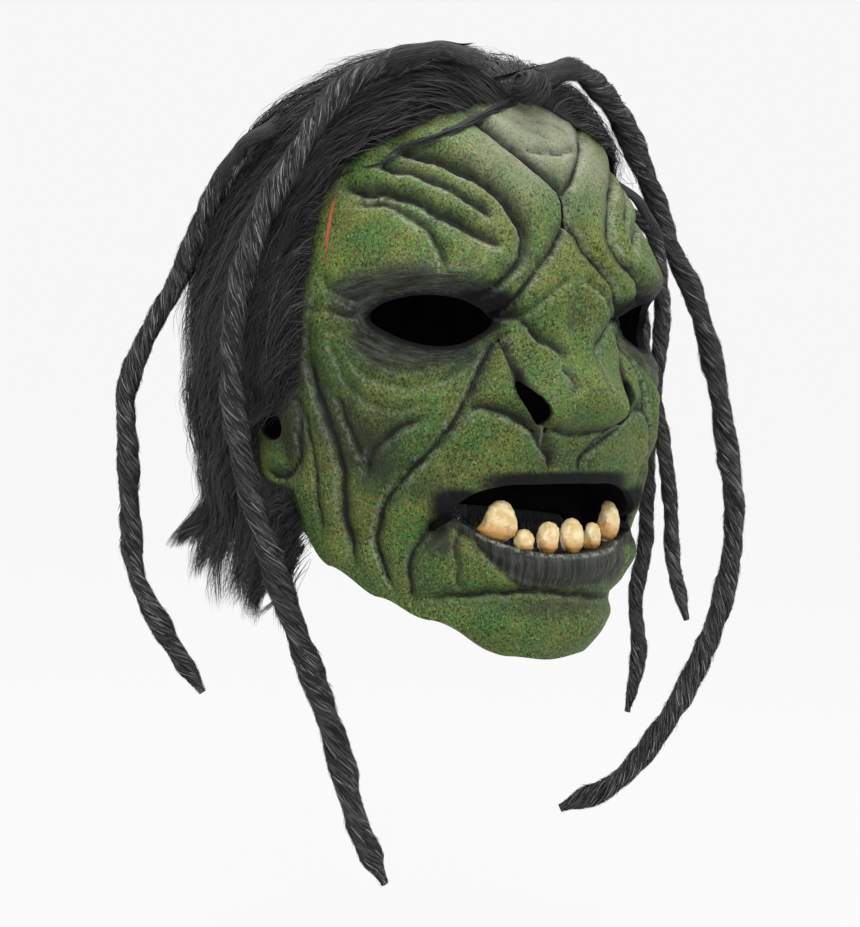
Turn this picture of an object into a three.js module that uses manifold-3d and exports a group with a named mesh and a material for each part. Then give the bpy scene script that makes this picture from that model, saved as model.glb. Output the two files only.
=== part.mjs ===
// A full-head latex ogre mask with six glued teeth, a fur wig and five dreadlocks.
//
// Frame: millimetres, +Z up, the face looks along -Y, and the wearer's right hand is at -X.
// The origin is where the inside of the crown rests on the wearer's head.
// "turn" is the angle round the Z axis, 0 at the face and positive towards +X, in radians.
// "drop" is the height below the outside of the crown.

import * as THREE from 'three';
import { mergeVertices } from 'three/addons/utils/BufferGeometryUtils.js';
import Module from 'manifold-3d';

const wasm = await Module();
wasm.setup();

// ---- driving dimensions ----
const SKIN = 2.5; // thickness of the latex
const DOME = 105; // drop at which the skull is widest
const PILE = 11.5; // thickness of the combed fur
const FUR_EDGE = 3; // thickness of the fur at the hairline
const GAP = 0.4; // clearance between pieces that touch
const FUR_BACKING = 1.8; // height of the fur's cloth backing above the latex
const ARC = 100; // radius that turns "across" distances on the skin into angles
const NAPE_HEM = 205; // drop of the latex hem at the back
const FUR_HEM = 240; // drop of the lowest fur at the sides
const NAPE_FUR_HEM = 245; // drop of the lowest fur at the back

const LATEX = { color: 0x55682f, roughness: 0.6 };
const TOOTH_ENAMEL = { color: 0xd9c58c, roughness: 0.35 };
const FUR = { color: 0x1b1b1d, roughness: 0.95 };
const WOOL = { color: 0x242426, roughness: 0.9 };

// Half width, depth to the front and depth to the rear of the head, each at some drops.
const HALF_WIDTH = [[0, 82], [40, 86], [80, 92], [110, 96], [150, 95], [185, 89], [215, 79], [240, 67], [265, 50]];
const FRONT_DEPTH = [[0, 96], [60, 95], [105, 97], [150, 97], [185, 95], [215, 97], [240, 98], [265, 90]];
const REAR_DEPTH = [[0, 112], [105, 112], [150, 108], [185, 100], [215, 92], [265, 85]];
// How square the front half is in plan: 2 is an ellipse.
const SQUARENESS = [[0, 2.0], [50, 2.1], [90, 2.4], [120, 2.5], [265, 2.4]];
const DOME_SQUARENESS = 2.5;
const REAR_SQUARENESS = 2;

// Features of the face: across, drop, height, half width and half height. Each is on both sides.
const LUMPS = {
  noseBulb: [0, 140, 20, 17, 17],
  noseWing: [20, 148, 12, 13, 12],
  bridge: [0, 112, 4, 14, 18],
  brow: [50, 88, 5, 34, 13],
  eyeSocket: [72, 112, -11, 32, 14],
  cheek: [60, 150, 4, 26, 20],
  upperLip: [0, 182, 3, 40, 10],
  mouth: [0, 203, -7, 44, 7],
  lowerLip: [0, 220, 3, 44, 9],
  chin: [0, 250, 3, 34, 12],
  earLobe: [153, 178, 4, 11, 9],
};

// ---- curves and surfaces ----

// A smooth value between rows of [drop, value].
function along(rows, drop) {
  const last = rows.length - 1;
  const d = Math.min(Math.max(drop, rows[0][0]), rows[last][0]);
  let i = 0;
  while (i < last - 1 && d > rows[i + 1][0]) i += 1;
  const [d0, v0] = rows[i];
  const [d1, v1] = rows[i + 1];
  const t = (d - d0) / (d1 - d0);
  return v0 + (v1 - v0) * t * t * (3 - 2 * t);
}

// The part of the full width that the dome has at a drop.
function domeScale(drop) {
  const t = Math.min(Math.max((DOME - drop) / DOME, 0), 1);
  return (1 - t ** DOME_SQUARENESS) ** (1 / DOME_SQUARENESS);
}

function baseRadius(turn, drop) {
  const facing = Math.cos(turn) > 0;
  const depth = along(facing ? FRONT_DEPTH : REAR_DEPTH, drop);
  const power = facing ? along(SQUARENESS, drop) : REAR_SQUARENESS;
  const sideways = Math.abs(Math.sin(turn) / along(HALF_WIDTH, drop)) ** power;
  const lengthways = Math.abs(Math.cos(turn) / depth) ** power;
  return (sideways + lengthways) ** (-1 / power) * domeScale(drop);
}

function lumpHeight(turn, drop) {
  const side = Math.abs(turn * ARC);
  let height = 0;
  for (const [across, level, size, halfWidth, halfHeight] of Object.values(LUMPS)) {
    const u = (side - across) / halfWidth;
    const v = (drop - level) / halfHeight;
    height += size * Math.exp(-u * u - v * v);
  }
  return height;
}

// A point on the skin, raised by "lift" away from the head.
function skinPoint(turn, drop, lift) {
  const radius = baseRadius(turn, drop) + lumpHeight(turn, drop);
  const point = new THREE.Vector3(radius * Math.sin(turn), -radius * Math.cos(turn), SKIN - drop);
  const centre = new THREE.Vector3(0, 0, SKIN - Math.max(drop, DOME));
  const away = point.clone().sub(centre).normalize();
  return point.addScaledVector(away, lift);
}

// The drop of the latex hem: lowest at the chin, highest behind the ears.
const HEM = [[0, 260], [23, 258], [63, 243], [92, 235], [123, 223], [145, 208], [155, NAPE_HEM]];
const hemDrop = (turn) => along(HEM, Math.abs(turn * ARC));

// The lower edge of the crown fur, and the front edge of the side fur, which passes behind the ear.
const CROWN_SEAM = 60;
const RIGHT_HAIRLINE = [[0, 10], [36, 14], [65, 20], [98, 31], [124, 42], [133, CROWN_SEAM]];
const LEFT_HAIRLINE = [[0, 10], [43, 24], [92, 35], [123, 43], [133, CROWN_SEAM]];
const SIDE_HAIRLINE = [[60, 131], [140, 132], [150, 166], [182, 168], [194, 149], [FUR_HEM, 147]];
const crownDrop = (turn) => along(turn < 0 ? RIGHT_HAIRLINE : LEFT_HAIRLINE, Math.abs(turn * ARC));

// How far a place on the skin is inside the hairline.
function insideHairline(turn, drop) {
  const behind = Math.abs(turn * ARC) - along(SIDE_HAIRLINE, drop);
  if (drop >= CROWN_SEAM) return behind;
  return Math.max(crownDrop(turn) - drop, behind);
}

const FUR_RISE = 26; // distance over which the fur reaches its full thickness
function furThickness(turn, drop) {
  const t = Math.min(Math.max(insideHairline(turn, drop) / FUR_RISE, 0), 1);
  return FUR_EDGE + (PILE - FUR_EDGE) * t * (2 - t);
}

// ---- solids ----

function geometryOf(vertices, triangles) {
  const geometry = new THREE.BufferGeometry();
  geometry.setAttribute('position', new THREE.Float32BufferAttribute(vertices, 3));
  geometry.setIndex(triangles);
  geometry.computeVertexNormals();
  return geometry;
}

function solidOf(geometry) {
  const bare = geometry.clone();
  bare.deleteAttribute('normal');
  bare.deleteAttribute('uv');
  const merged = mergeVertices(bare, 1e-4);
  const vertProperties = new Float32Array(merged.attributes.position.array);
  const triVerts = new Uint32Array(merged.index.array);
  return new wasm.Manifold(new wasm.Mesh({ numProp: 3, vertProperties, triVerts }));
}

function geometryFrom(solid) {
  const mesh = solid.getMesh();
  return geometryOf(Array.from(mesh.vertProperties), Array.from(mesh.triVerts));
}

function piece(name, geometry, finish) {
  const material = new THREE.MeshStandardMaterial({ ...finish, metalness: 0 });
  const mesh = new THREE.Mesh(geometry, material);
  mesh.name = name;
  return mesh;
}

// Quads of a closed grid whose rows are rings of "count" vertices.
function ringQuads(rowStart, nextStart, count, flip) {
  const triangles = [];
  for (let i = 0; i < count; i += 1) {
    const a = rowStart + i;
    const b = rowStart + ((i + 1) % count);
    const c = nextStart + i;
    const d = nextStart + ((i + 1) % count);
    if (flip) triangles.push(a, b, c, b, d, c);
    else triangles.push(a, c, b, b, c, d);
  }
  return triangles;
}

function fan(tip, rowStart, count, flip) {
  const triangles = [];
  for (let i = 0; i < count; i += 1) {
    const a = rowStart + i;
    const b = rowStart + ((i + 1) % count);
    if (flip) triangles.push(tip, b, a);
    else triangles.push(tip, a, b);
  }
  return triangles;
}

// A double-walled cap: rings from the pole down to an edge, at an inner and an outer lift.
function capSolid(turns, rows, dropAt, innerLift, outerLift) {
  const count = turns.length;
  const vertices = [];
  const wall = (lift) => {
    const start = vertices.length / 3;
    vertices.push(...skinPoint(0, 0, lift(0, 0)).toArray());
    for (let row = 1; row <= rows; row += 1) {
      for (const turn of turns) {
        const drop = dropAt(turn, row / rows);
        vertices.push(...skinPoint(turn, drop, lift(turn, drop)).toArray());
      }
    }
    return start;
  };
  const outer = wall(outerLift);
  const inner = wall(innerLift);
  const triangles = [...fan(outer, outer + 1, count, false), ...fan(inner, inner + 1, count, true)];
  for (let row = 0; row < rows - 1; row += 1) {
    const step = 1 + row * count;
    triangles.push(...ringQuads(outer + step, outer + step + count, count, false));
    triangles.push(...ringQuads(inner + step, inner + step + count, count, true));
  }
  const edge = 1 + (rows - 1) * count;
  triangles.push(...ringQuads(outer + edge, inner + edge, count, false));
  return geometryOf(vertices, triangles);
}

// A thick panel between two side edges and between two drops.
function panelSolid(columns, rows, turnAt, dropAt, innerLift, outerLift) {
  const vertices = [];
  const width = columns + 1;
  const wall = (lift) => {
    const start = vertices.length / 3;
    for (let row = 0; row <= rows; row += 1) {
      const drop = dropAt(row / rows);
      for (let column = 0; column <= columns; column += 1) {
        const turn = turnAt(column / columns, drop);
        vertices.push(...skinPoint(turn, drop, lift(turn, drop)).toArray());
      }
    }
    return start;
  };
  const outer = wall(outerLift);
  const inner = wall(innerLift);
  const triangles = [];
  const quad = (a, b, c, d) => triangles.push(a, b, c, a, c, d);
  for (let row = 0; row < rows; row += 1) {
    for (let column = 0; column < columns; column += 1) {
      const a = row * width + column;
      quad(outer + a, outer + a + width, outer + a + width + 1, outer + a + 1);
      quad(inner + a, inner + a + 1, inner + a + width + 1, inner + a + width);
    }
    const left = row * width;
    const right = left + columns;
    quad(outer + left, inner + left, inner + left + width, outer + left + width);
    quad(outer + right, outer + right + width, inner + right + width, inner + right);
  }
  const bottom = rows * width;
  for (let column = 0; column < columns; column += 1) {
    quad(outer + column, outer + column + 1, inner + column + 1, inner + column);
    const low = bottom + column;
    quad(outer + low, inner + low, inner + low + 1, outer + low + 1);
  }
  return geometryOf(vertices, triangles);
}

// Turns round the whole head, closer together over the face than over the rear.
const FACE_LIMIT = THREE.MathUtils.degToRad(105);
function turnsRound(faceSteps, rearSteps) {
  const turns = [];
  for (let i = 0; i < faceSteps; i += 1) turns.push(-FACE_LIMIT + (2 * FACE_LIMIT * i) / faceSteps);
  const rest = 2 * (Math.PI - FACE_LIMIT);
  for (let i = 0; i < rearSteps; i += 1) turns.push(FACE_LIMIT + (rest * i) / rearSteps);
  return turns;
}

// Rows down the head: first over the dome by angle, then down the sides to the edge.
const DOME_SHARE = 0.42;
function skinDrop(turn, part) {
  if (part <= DOME_SHARE) return DOME * (1 - Math.cos((part / DOME_SHARE) * (Math.PI / 2)));
  return DOME + ((part - DOME_SHARE) / (1 - DOME_SHARE)) * (hemDrop(turn) - DOME);
}

// ---- the latex skin and its openings ----

// Openings seen from the front, as [x, drop]. The eye is on the wearer's left.
const EYE = [[80, 111], [77, 105], [70, 101], [58, 100], [47, 103], [37, 110], [49, 120], [62, 122], [73, 118]];
const MOUTH_UPPER = [[-45, 186], [-33, 182], [-15, 181], [15, 181], [33, 182], [45, 186]];
const MOUTH_LOWER = [[56, 197], [51, 204], [34, 209.5], [15, 212], [-14, 211], [-30, 207], [-43, 201], [-52, 194]];
const NOSTRIL = { x: 27, drop: 145, length: 21, width: 8, lean: -0.45 };
const EAR_HOLE = { y: -3, drop: 161, halfLength: 10, halfHeight: 7.5 };
const EAR_CUT = { x: 95, length: 50, sides: 16 };
const FRONT_OF_CUT = 160;
const BACK_OF_CUT = 20;
const SKIN_GRID = { face: 36, rear: 14, rows: 24 };

function frontCutter(shape, segments) {
  const depth = FRONT_OF_CUT - BACK_OF_CUT;
  const geometry = new THREE.ExtrudeGeometry(shape, { depth, bevelEnabled: false, curveSegments: segments });
  geometry.rotateX(Math.PI / 2);
  geometry.translate(0, -BACK_OF_CUT, SKIN);
  return solidOf(geometry);
}

function outlineShape(points, sideways) {
  const outline = points.map(([x, drop]) => new THREE.Vector2(sideways * x, -drop));
  const curve = new THREE.CatmullRomCurve3(outline.map((p) => new THREE.Vector3(p.x, p.y, 0)), true);
  return new THREE.Shape(curve.getPoints(outline.length * 2).slice(0, -1).map((p) => new THREE.Vector2(p.x, p.y)));
}

function nostrilShape(sideways) {
  const shape = new THREE.Shape();
  const lean = Math.PI / 2 + sideways * NOSTRIL.lean;
  shape.absellipse(
    sideways * NOSTRIL.x, -NOSTRIL.drop, NOSTRIL.length / 2, NOSTRIL.width / 2, 0, 2 * Math.PI, false, lean,
  );
  return shape;
}

function earCutter(sideways) {
  const geometry = new THREE.CylinderGeometry(1, 1, EAR_CUT.length, EAR_CUT.sides);
  geometry.rotateZ(Math.PI / 2);
  geometry.scale(1, EAR_HOLE.halfLength, EAR_HOLE.halfHeight);
  geometry.translate(sideways * EAR_CUT.x, EAR_HOLE.y, SKIN - EAR_HOLE.drop);
  return solidOf(geometry);
}

// Drop of the lower lip's edge, which rises towards the corners of the mouth, less so on the wearer's left.
const LIP = { middle: 212, rise: 13, leftRise: 6, corner: 56 };
const lipRise = (turn) => (turn < 0 ? LIP.rise : LIP.leftRise);
const lipDrop = (turn) => LIP.middle - lipRise(turn) * ((turn * ARC) / LIP.corner) ** 2;

// The gum ridge behind the lower lip, and how far above its middle the teeth are seated.
const GUM = { radius: 5, inset: 7, below: 6, reach: 0.5, seat: 1.6, rise: 14 };
const gumPoint = (turn) => skinPoint(turn, lipDrop(turn) + GUM.below, -GUM.inset);

function gumSolid() {
  const spans = 8;
  const points = [];
  for (let i = 0; i <= spans; i += 1) points.push(gumPoint(GUM.reach * ((2 * i) / spans - 1)));
  return solidOf(tubeGeometry(points, GUM.radius, 12, 8));
}

function tubeGeometry(points, radius, steps, sides) {
  const section = new THREE.Shape();
  section.absarc(0, 0, radius, 0, 2 * Math.PI, false);
  const extrudePath = new THREE.CatmullRomCurve3(points);
  return new THREE.ExtrudeGeometry(section, { steps, extrudePath, curveSegments: sides, bevelEnabled: false });
}

function latexSkin() {
  const turns = turnsRound(SKIN_GRID.face, SKIN_GRID.rear);
  let skin = solidOf(capSolid(turns, SKIN_GRID.rows, skinDrop, () => -SKIN, () => 0));
  skin = skin.add(gumSolid());
  skin = skin.subtract(frontCutter(outlineShape([...MOUTH_UPPER, ...MOUTH_LOWER], 1), 12));
  for (const sideways of [-1, 1]) {
    skin = skin.subtract(frontCutter(outlineShape(EYE, sideways), 12));
    skin = skin.subtract(frontCutter(nostrilShape(sideways), 6));
    skin = skin.subtract(earCutter(sideways));
  }
  return piece('latex_skin', geometryFrom(skin), LATEX);
}

// ---- teeth ----

// Across the mouth, height, half width, half depth, lean to the side and sink of each lower tooth.
const TEETH = {
  canine_right: [-32, 16, 7.2, 4.8, 0.18, -1],
  tooth_right_outer: [-18.5, 8, 4.4, 3.6, 0, 0],
  tooth_right_middle: [-4.5, 12, 5.2, 4.2, 0, -1],
  tooth_left_middle: [11.5, 14, 5.5, 4.2, 0.05, 0],
  tooth_left_outer: [27.5, 10, 4.6, 3.6, 0.1, 0.6],
  canine_left: [43, 17, 6, 4.6, 0.42, 1.4],
};
// Radius of a blunt tooth, as shares of its half width, at shares of its height.
const TOOTH_PROFILE = [[0, 0], [0.72, 0], [0.92, 0.15], [1, 0.38], [0.93, 0.65], [0.7, 0.87], [0.35, 0.98], [0, 1]];
const TOOTH_SIDES = 12;

function tooth(name, [across, height, halfWidth, halfDepth, lean, sink]) {
  const turn = across / ARC;
  const profile = TOOTH_PROFILE.map(([r, h]) => new THREE.Vector2(r * halfWidth, h * height));
  const geometry = new THREE.LatheGeometry(profile, TOOTH_SIDES);
  geometry.rotateX(Math.PI / 2);
  geometry.scale(1, halfDepth / halfWidth, 1);
  const merged = geometryFrom(solidOf(geometry));
  const mesh = piece(name, merged, TOOTH_ENAMEL);
  const gum = gumPoint(turn);
  const seat = GUM.radius + GUM.seat + GUM.rise * turn * turn - sink;
  mesh.position.set(gum.x, gum.y, gum.z + seat);
  mesh.rotation.set(0, lean, turn, 'ZYX');
  return mesh;
}

// ---- the wig ----

const furInner = () => FUR_BACKING;
const furOuter = (turn, drop) => FUR_BACKING + furThickness(turn, drop);
const SEAM = 0.8; // opening left between neighbouring fur panels
const SIDE_REAR = 225; // across distance from the face to the side panel's rear seam
const PANEL_TOP = CROWN_SEAM + SEAM;
const CROWN_GRID = { face: 24, rear: 12, rows: 7 };
const SIDE_GRID = { columns: 8, rows: 14 };
const BACK_GRID = { columns: 12, rows: 12 };

function furCrown() {
  const dropAt = (turn, part) => crownDrop(turn) * (1 - Math.cos((part * Math.PI) / 2));
  const turns = turnsRound(CROWN_GRID.face, CROWN_GRID.rear);
  const geometry = capSolid(turns, CROWN_GRID.rows, dropAt, furInner, furOuter);
  return piece('fur_crown', geometry, FUR);
}

function furSide(name, sideways) {
  const front = (drop) => along(SIDE_HAIRLINE, drop) / ARC;
  const rear = SIDE_REAR / ARC;
  const turnAt = (part, drop) => {
    const share = sideways > 0 ? part : 1 - part;
    return sideways * (front(drop) + (rear - front(drop)) * share);
  };
  const dropAt = (part) => PANEL_TOP + (FUR_HEM - PANEL_TOP) * part;
  const geometry = panelSolid(SIDE_GRID.columns, SIDE_GRID.rows, turnAt, dropAt, furInner, furOuter);
  return piece(name, geometry, FUR);
}

function furBack() {
  const start = (SIDE_REAR + SEAM) / ARC;
  const turnAt = (part) => start + (2 * Math.PI - 2 * start) * part;
  const dropAt = (part) => PANEL_TOP + (NAPE_FUR_HEM - PANEL_TOP) * part;
  const geometry = panelSolid(BACK_GRID.columns, BACK_GRID.rows, turnAt, dropAt, furInner, furOuter);
  return piece('fur_back', geometry, FUR);
}

// Middle and half sizes of the knot that gathers the forelock.
const KNOT = { x: -5, y: -67, z: -4, width: 9, depth: 8, height: 7.5 };
function forelockKnot() {
  const ball = new THREE.SphereGeometry(1, 12, 8);
  ball.scale(KNOT.width, KNOT.depth, KNOT.height);
  const mesh = piece('forelock_knot', geometryFrom(solidOf(ball)), FUR);
  mesh.position.set(KNOT.x, KNOT.y, KNOT.z);
  return mesh;
}

// ---- dreadlocks ----

// Each lies on the wig along "lying" and hangs free along "hanging", which starts at the hinge.
const DREADS = {
  right_front: {
    radius: 5.5,
    lying: [[-41, -40, 10], [-54, -34, 5], [-73, -24, -6], [-96, -20, -37], [-107, -11, -64],
      [-115, -5, -99], [-116, -3, -135], [-111, -5, -170]],
    hanging: [[-111, -5, -170], [-103, -12, -205], [-84, -18, -254], [-66, -24, -300],
      [-55, -31, -341], [-45, -38, -365]],
  },
  right_rear: {
    radius: 4.5,
    lying: [[-95, 27, -37], [-103, 43, -67], [-104, 59, -95]],
    hanging: [[-104, 59, -95], [-115, 67, -122], [-121, 74, -149], [-119, 74, -178], [-117, 73, -209],
      [-114, 71, -234], [-106, 62, -256], [-90, 48, -287]],
  },
  left_front: {
    radius: 5,
    lying: [[10, -62, 4], [28, -58, 6], [47, -50, 1], [67, -44, -11], [85, -39, -30], [100, -36, -50],
      [112, -34, -70]],
    hanging: [[112, -34, -70], [126, -35, -90], [139, -39, -125], [148, -42, -164], [153, -45, -198],
      [150, -43, -242], [142, -38, -271], [128, -27, -307], [112, -13, -334], [91, 2, -347]],
  },
  left_middle: {
    radius: 3.5,
    lying: [[88, -40, -54], [98, -39, -68], [106, -36, -86], [110, -34, -104]],
    hanging: [[110, -34, -104], [112, -31, -122], [111, -30, -141], [116, -32, -165], [121, -34, -194],
      [123, -36, -223], [129, -41, -251]],
  },
  left_rear: {
    radius: 3.5,
    lying: [[109, -7, -78], [116, -8, -96], [120, -9, -112], [122, -9, -130]],
    hanging: [[122, -9, -130], [126, -10, -150], [127, -10, -191], [127, -11, -215], [124, -9, -245],
      [126, -11, -270], [123, -8, -300]],
  },
};
const DREAD_STEP = 2.6; // length of a tube step, in diameters

const dreadPoints = (rows) => rows.map(([x, y, z]) => new THREE.Vector3(x, y, z));

function dreadTube(points, radius) {
  const length = new THREE.CatmullRomCurve3(points).getLength();
  const steps = Math.max(3, Math.round(length / (2 * radius * DREAD_STEP)));
  return solidOf(tubeGeometry(points, radius, steps, 4));
}

// The lying stretch stops one radius short of the hinge, so that the hanging one can turn there.
function lyingDread(name, { radius, lying }) {
  const points = dreadPoints(lying);
  const last = points.length - 1;
  const back = points[last - 1].clone().sub(points[last]).setLength(radius + GAP);
  points[last].add(back);
  return piece(`dread_${name}_root`, geometryFrom(dreadTube(points, radius)), WOOL);
}

// The hanging stretch starts with a ball centred on the hinge.
function hangingDread(name, { radius, hanging }) {
  const points = dreadPoints(hanging);
  const ball = new THREE.SphereGeometry(radius, 8, 6);
  ball.translate(points[0].x, points[0].y, points[0].z);
  const solid = dreadTube(points, radius).add(solidOf(ball));
  return piece(`dread_${name}`, geometryFrom(solid), WOOL);
}

// ---- the mask ----

const mask = new THREE.Group();
mask.add(latexSkin());
for (const [name, sizes] of Object.entries(TEETH)) mask.add(tooth(name, sizes));
mask.add(furCrown(), furSide('fur_right', -1), furSide('fur_left', 1), furBack(), forelockKnot());
for (const [name, dread] of Object.entries(DREADS)) {
  mask.add(lyingDread(name, dread), hangingDread(name, dread));
}

export default mask;
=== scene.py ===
"""Looks of a full-head latex ogre mask: camera, materials, dreadlocks, latex, teeth, fur and light.

Sculpting is done in millimetres and written to meshes in metres. Places on the head are given as
"turn" (angle round Z, 0 at the face), "across" (turn times ARC) and "drop" (height below the crown).
"""

import math

import bpy
import numpy as np
from mathutils import Matrix, Vector


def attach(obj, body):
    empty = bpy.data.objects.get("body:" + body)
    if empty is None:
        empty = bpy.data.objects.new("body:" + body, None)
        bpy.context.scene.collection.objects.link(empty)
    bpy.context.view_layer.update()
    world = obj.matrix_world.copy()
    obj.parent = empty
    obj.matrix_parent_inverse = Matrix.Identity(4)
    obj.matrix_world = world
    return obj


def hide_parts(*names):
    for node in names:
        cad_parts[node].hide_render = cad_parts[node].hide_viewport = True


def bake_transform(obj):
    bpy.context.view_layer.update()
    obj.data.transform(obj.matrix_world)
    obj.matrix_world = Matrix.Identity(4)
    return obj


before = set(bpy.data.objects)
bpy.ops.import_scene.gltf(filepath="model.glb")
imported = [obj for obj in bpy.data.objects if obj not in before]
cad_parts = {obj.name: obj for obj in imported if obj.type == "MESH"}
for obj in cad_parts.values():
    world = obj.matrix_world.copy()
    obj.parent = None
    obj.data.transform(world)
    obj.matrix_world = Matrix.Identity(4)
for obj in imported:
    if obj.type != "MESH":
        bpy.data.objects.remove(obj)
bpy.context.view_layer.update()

MM = 0.001
SEED = 20
HEAD = "head"

# ---- the head's driving dimensions, the same as the CAD's ----

SKIN = 2.5  # thickness of the latex
DOME = 105  # drop at which the skull is widest
PILE = 11.5  # thickness of the combed fur
FUR_EDGE = 3  # thickness of the fur at the hairline
FUR_BACKING = 1.8  # thickness of the cloth under the fur
ARC = 100  # millimetres of across distance per radian of turn
NAPE_HEM = 205
FUR_HEM = 240
NAPE_FUR_HEM = 245
HALF_WIDTH = [(0, 82), (40, 86), (80, 92), (110, 96), (150, 95), (185, 89), (215, 79), (240, 67),
              (265, 50)]
FRONT_DEPTH = [(0, 96), (60, 95), (105, 97), (150, 97), (185, 95), (215, 97), (240, 98), (265, 90)]
REAR_DEPTH = [(0, 112), (105, 112), (150, 108), (185, 100), (215, 92), (265, 85)]
SQUARENESS = [(0, 2.0), (50, 2.1), (90, 2.4), (120, 2.5), (265, 2.4)]
DOME_SQUARENESS = 2.5
REAR_SQUARENESS = 2
HEM = [(0, 260), (23, 258), (63, 243), (92, 235), (123, 223), (145, 208), (155, NAPE_HEM)]
CROWN_SEAM = 60
RIGHT_HAIRLINE = [(0, 10), (36, 14), (65, 20), (98, 31), (124, 42), (133, CROWN_SEAM)]
LEFT_HAIRLINE = [(0, 10), (43, 24), (92, 35), (123, 43), (133, CROWN_SEAM)]
SIDE_HAIRLINE = [(60, 131), (140, 132), (150, 166), (182, 168), (194, 149), (FUR_HEM, 147)]
SEAM = 0.8  # gap between two fur panels
SIDE_REAR = 225  # across distance at which a side panel meets the back one

# Features of the face: across, drop, height, half width and half height. Each is on both sides.
LUMPS = [
    (0, 140, 20, 17, 17),  # nose bulb
    (20, 148, 12, 13, 12),  # nose wing
    (0, 112, 4, 14, 18),  # bridge
    (50, 88, 5, 34, 13),  # brow
    (72, 112, -11, 32, 14),  # eye socket
    (60, 150, 4, 26, 20),  # cheek
    (0, 182, 3, 40, 10),  # upper lip
    (0, 203, -7, 44, 7),  # mouth
    (0, 220, 3, 44, 9),  # lower lip
    (0, 250, 3, 34, 12),  # chin
    (153, 178, 4, 11, 9),  # ear lobe
]


def unit(vectors):
    return vectors / np.linalg.norm(vectors, axis=-1, keepdims=True)


def along(rows, x):
    """A smooth value between rows of (position, value), the same as in the CAD."""
    table = np.asarray(rows, float)
    x = np.clip(x, table[0, 0], table[-1, 0])
    i = np.clip(np.searchsorted(table[:, 0], x, side="right") - 1, 0, len(table) - 2)
    t = (x - table[i, 0]) / (table[i + 1, 0] - table[i, 0])
    return table[i, 1] + (table[i + 1, 1] - table[i, 1]) * t * t * (3 - 2 * t)


def base_radius(turn, drop):
    """Radius of the plain head round the Z axis."""
    facing = np.cos(turn) > 0
    depth = np.where(facing, along(FRONT_DEPTH, drop), along(REAR_DEPTH, drop))
    power = np.where(facing, along(SQUARENESS, drop), REAR_SQUARENESS)
    sideways = np.abs(np.sin(turn) / along(HALF_WIDTH, drop)) ** power
    lengthways = np.abs(np.cos(turn) / depth) ** power
    t = np.clip((DOME - drop) / DOME, 0, 1)
    dome = np.clip(1 - t**DOME_SQUARENESS, 0, 1) ** (1 / DOME_SQUARENESS)
    return (sideways + lengthways) ** (-1 / power) * dome


def lump_height(turn, drop, lumps=LUMPS):
    side = np.abs(turn * ARC)
    height = np.zeros(np.broadcast(turn, drop).shape)
    for across, level, size, half_width, half_height in lumps:
        u = (side - across) / half_width
        v = (drop - level) / half_height
        height += size * np.exp(-u * u - v * v)
    return height


def face_radius(turn, drop):
    return base_radius(turn, drop) + lump_height(turn, drop)


def skin_point(turn, drop, lift=0.0):
    """Points on the skin in millimetres, raised by lift away from the head."""
    radius = face_radius(turn, drop)
    z = SKIN - drop + 0 * turn
    point = np.stack([radius * np.sin(turn), -radius * np.cos(turn), z], axis=-1)
    centre = np.stack([0 * z, 0 * z, SKIN - np.maximum(drop, DOME) + 0 * turn], axis=-1)
    return point + unit(point - centre) * np.asarray(lift)[..., None]


def outward(point):
    """The direction away from the head at a point."""
    centre = np.zeros(point.shape)
    centre[..., 2] = np.minimum(point[..., 2], SKIN - DOME)
    return unit(point - centre)


def hem_drop(turn):
    return along(HEM, np.abs(turn * ARC))


def hairline_drop(turn):
    across = np.abs(turn * ARC)
    return np.where(turn < 0, along(RIGHT_HAIRLINE, across), along(LEFT_HAIRLINE, across))


def inside_hairline(turn, drop):
    """How far a place is inside the fur's edge, the same as in the CAD."""
    behind = np.abs(turn * ARC) - along(SIDE_HAIRLINE, drop)
    under = hairline_drop(turn) - drop
    return np.where(drop >= CROWN_SEAM, behind, np.maximum(under, behind))


def smooth_step(value, start, end):
    t = np.clip((value - start) / (end - start), 0, 1)
    return t * t * (3 - 2 * t)


def bell(value, width, middle=0.0):
    """1 at the middle, and falling off smoothly on both sides of it."""
    return np.exp(-(((value - middle) / width) ** 2))


def distance_along(path):
    return np.r_[0, np.cumsum(np.linalg.norm(np.diff(path, axis=0), axis=1))]


def read_along(place, places, points):
    """Points read off a line at distances along it."""
    return np.stack([np.interp(place, places, column) for column in points.T], -1)


def round_ring(count):
    return np.arange(count) * 2 * math.pi / count


def around(first, second, angle):
    """Directions at an angle round an axis, from the direction first towards the direction second."""
    return first * np.cos(angle)[..., None] + second * np.sin(angle)[..., None]


def resample(points, spacing):
    """A smooth line through the points, with a point about every spacing."""
    p = np.asarray(points, float)
    chord = distance_along(p)
    slope = np.gradient(p, chord, axis=0)
    fine = np.linspace(0, chord[-1], max(2, int(round(chord[-1] / spacing)) + 1))
    i = np.clip(np.searchsorted(chord, fine, side="right") - 1, 0, len(p) - 2)
    span = (chord[i + 1] - chord[i])[:, None]
    t = (fine - chord[i])[:, None] / span
    h00 = 2 * t**3 - 3 * t**2 + 1
    h10 = t**3 - 2 * t**2 + t
    h01 = -2 * t**3 + 3 * t**2
    h11 = t**3 - t**2
    return h00 * p[i] + h10 * span * slope[i] + h01 * p[i + 1] + h11 * span * slope[i + 1]


# ---- meshes ----


def new_object(name, data):
    made = bpy.data.objects.new(name, data)
    bpy.context.scene.collection.objects.link(made)
    return made


def fixed(piece, node, paint):
    """Put a piece on the head's body in place of a CAD node, and paint it."""
    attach(piece, HEAD)
    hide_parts(node)
    piece.data.materials.append(paint)


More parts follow.
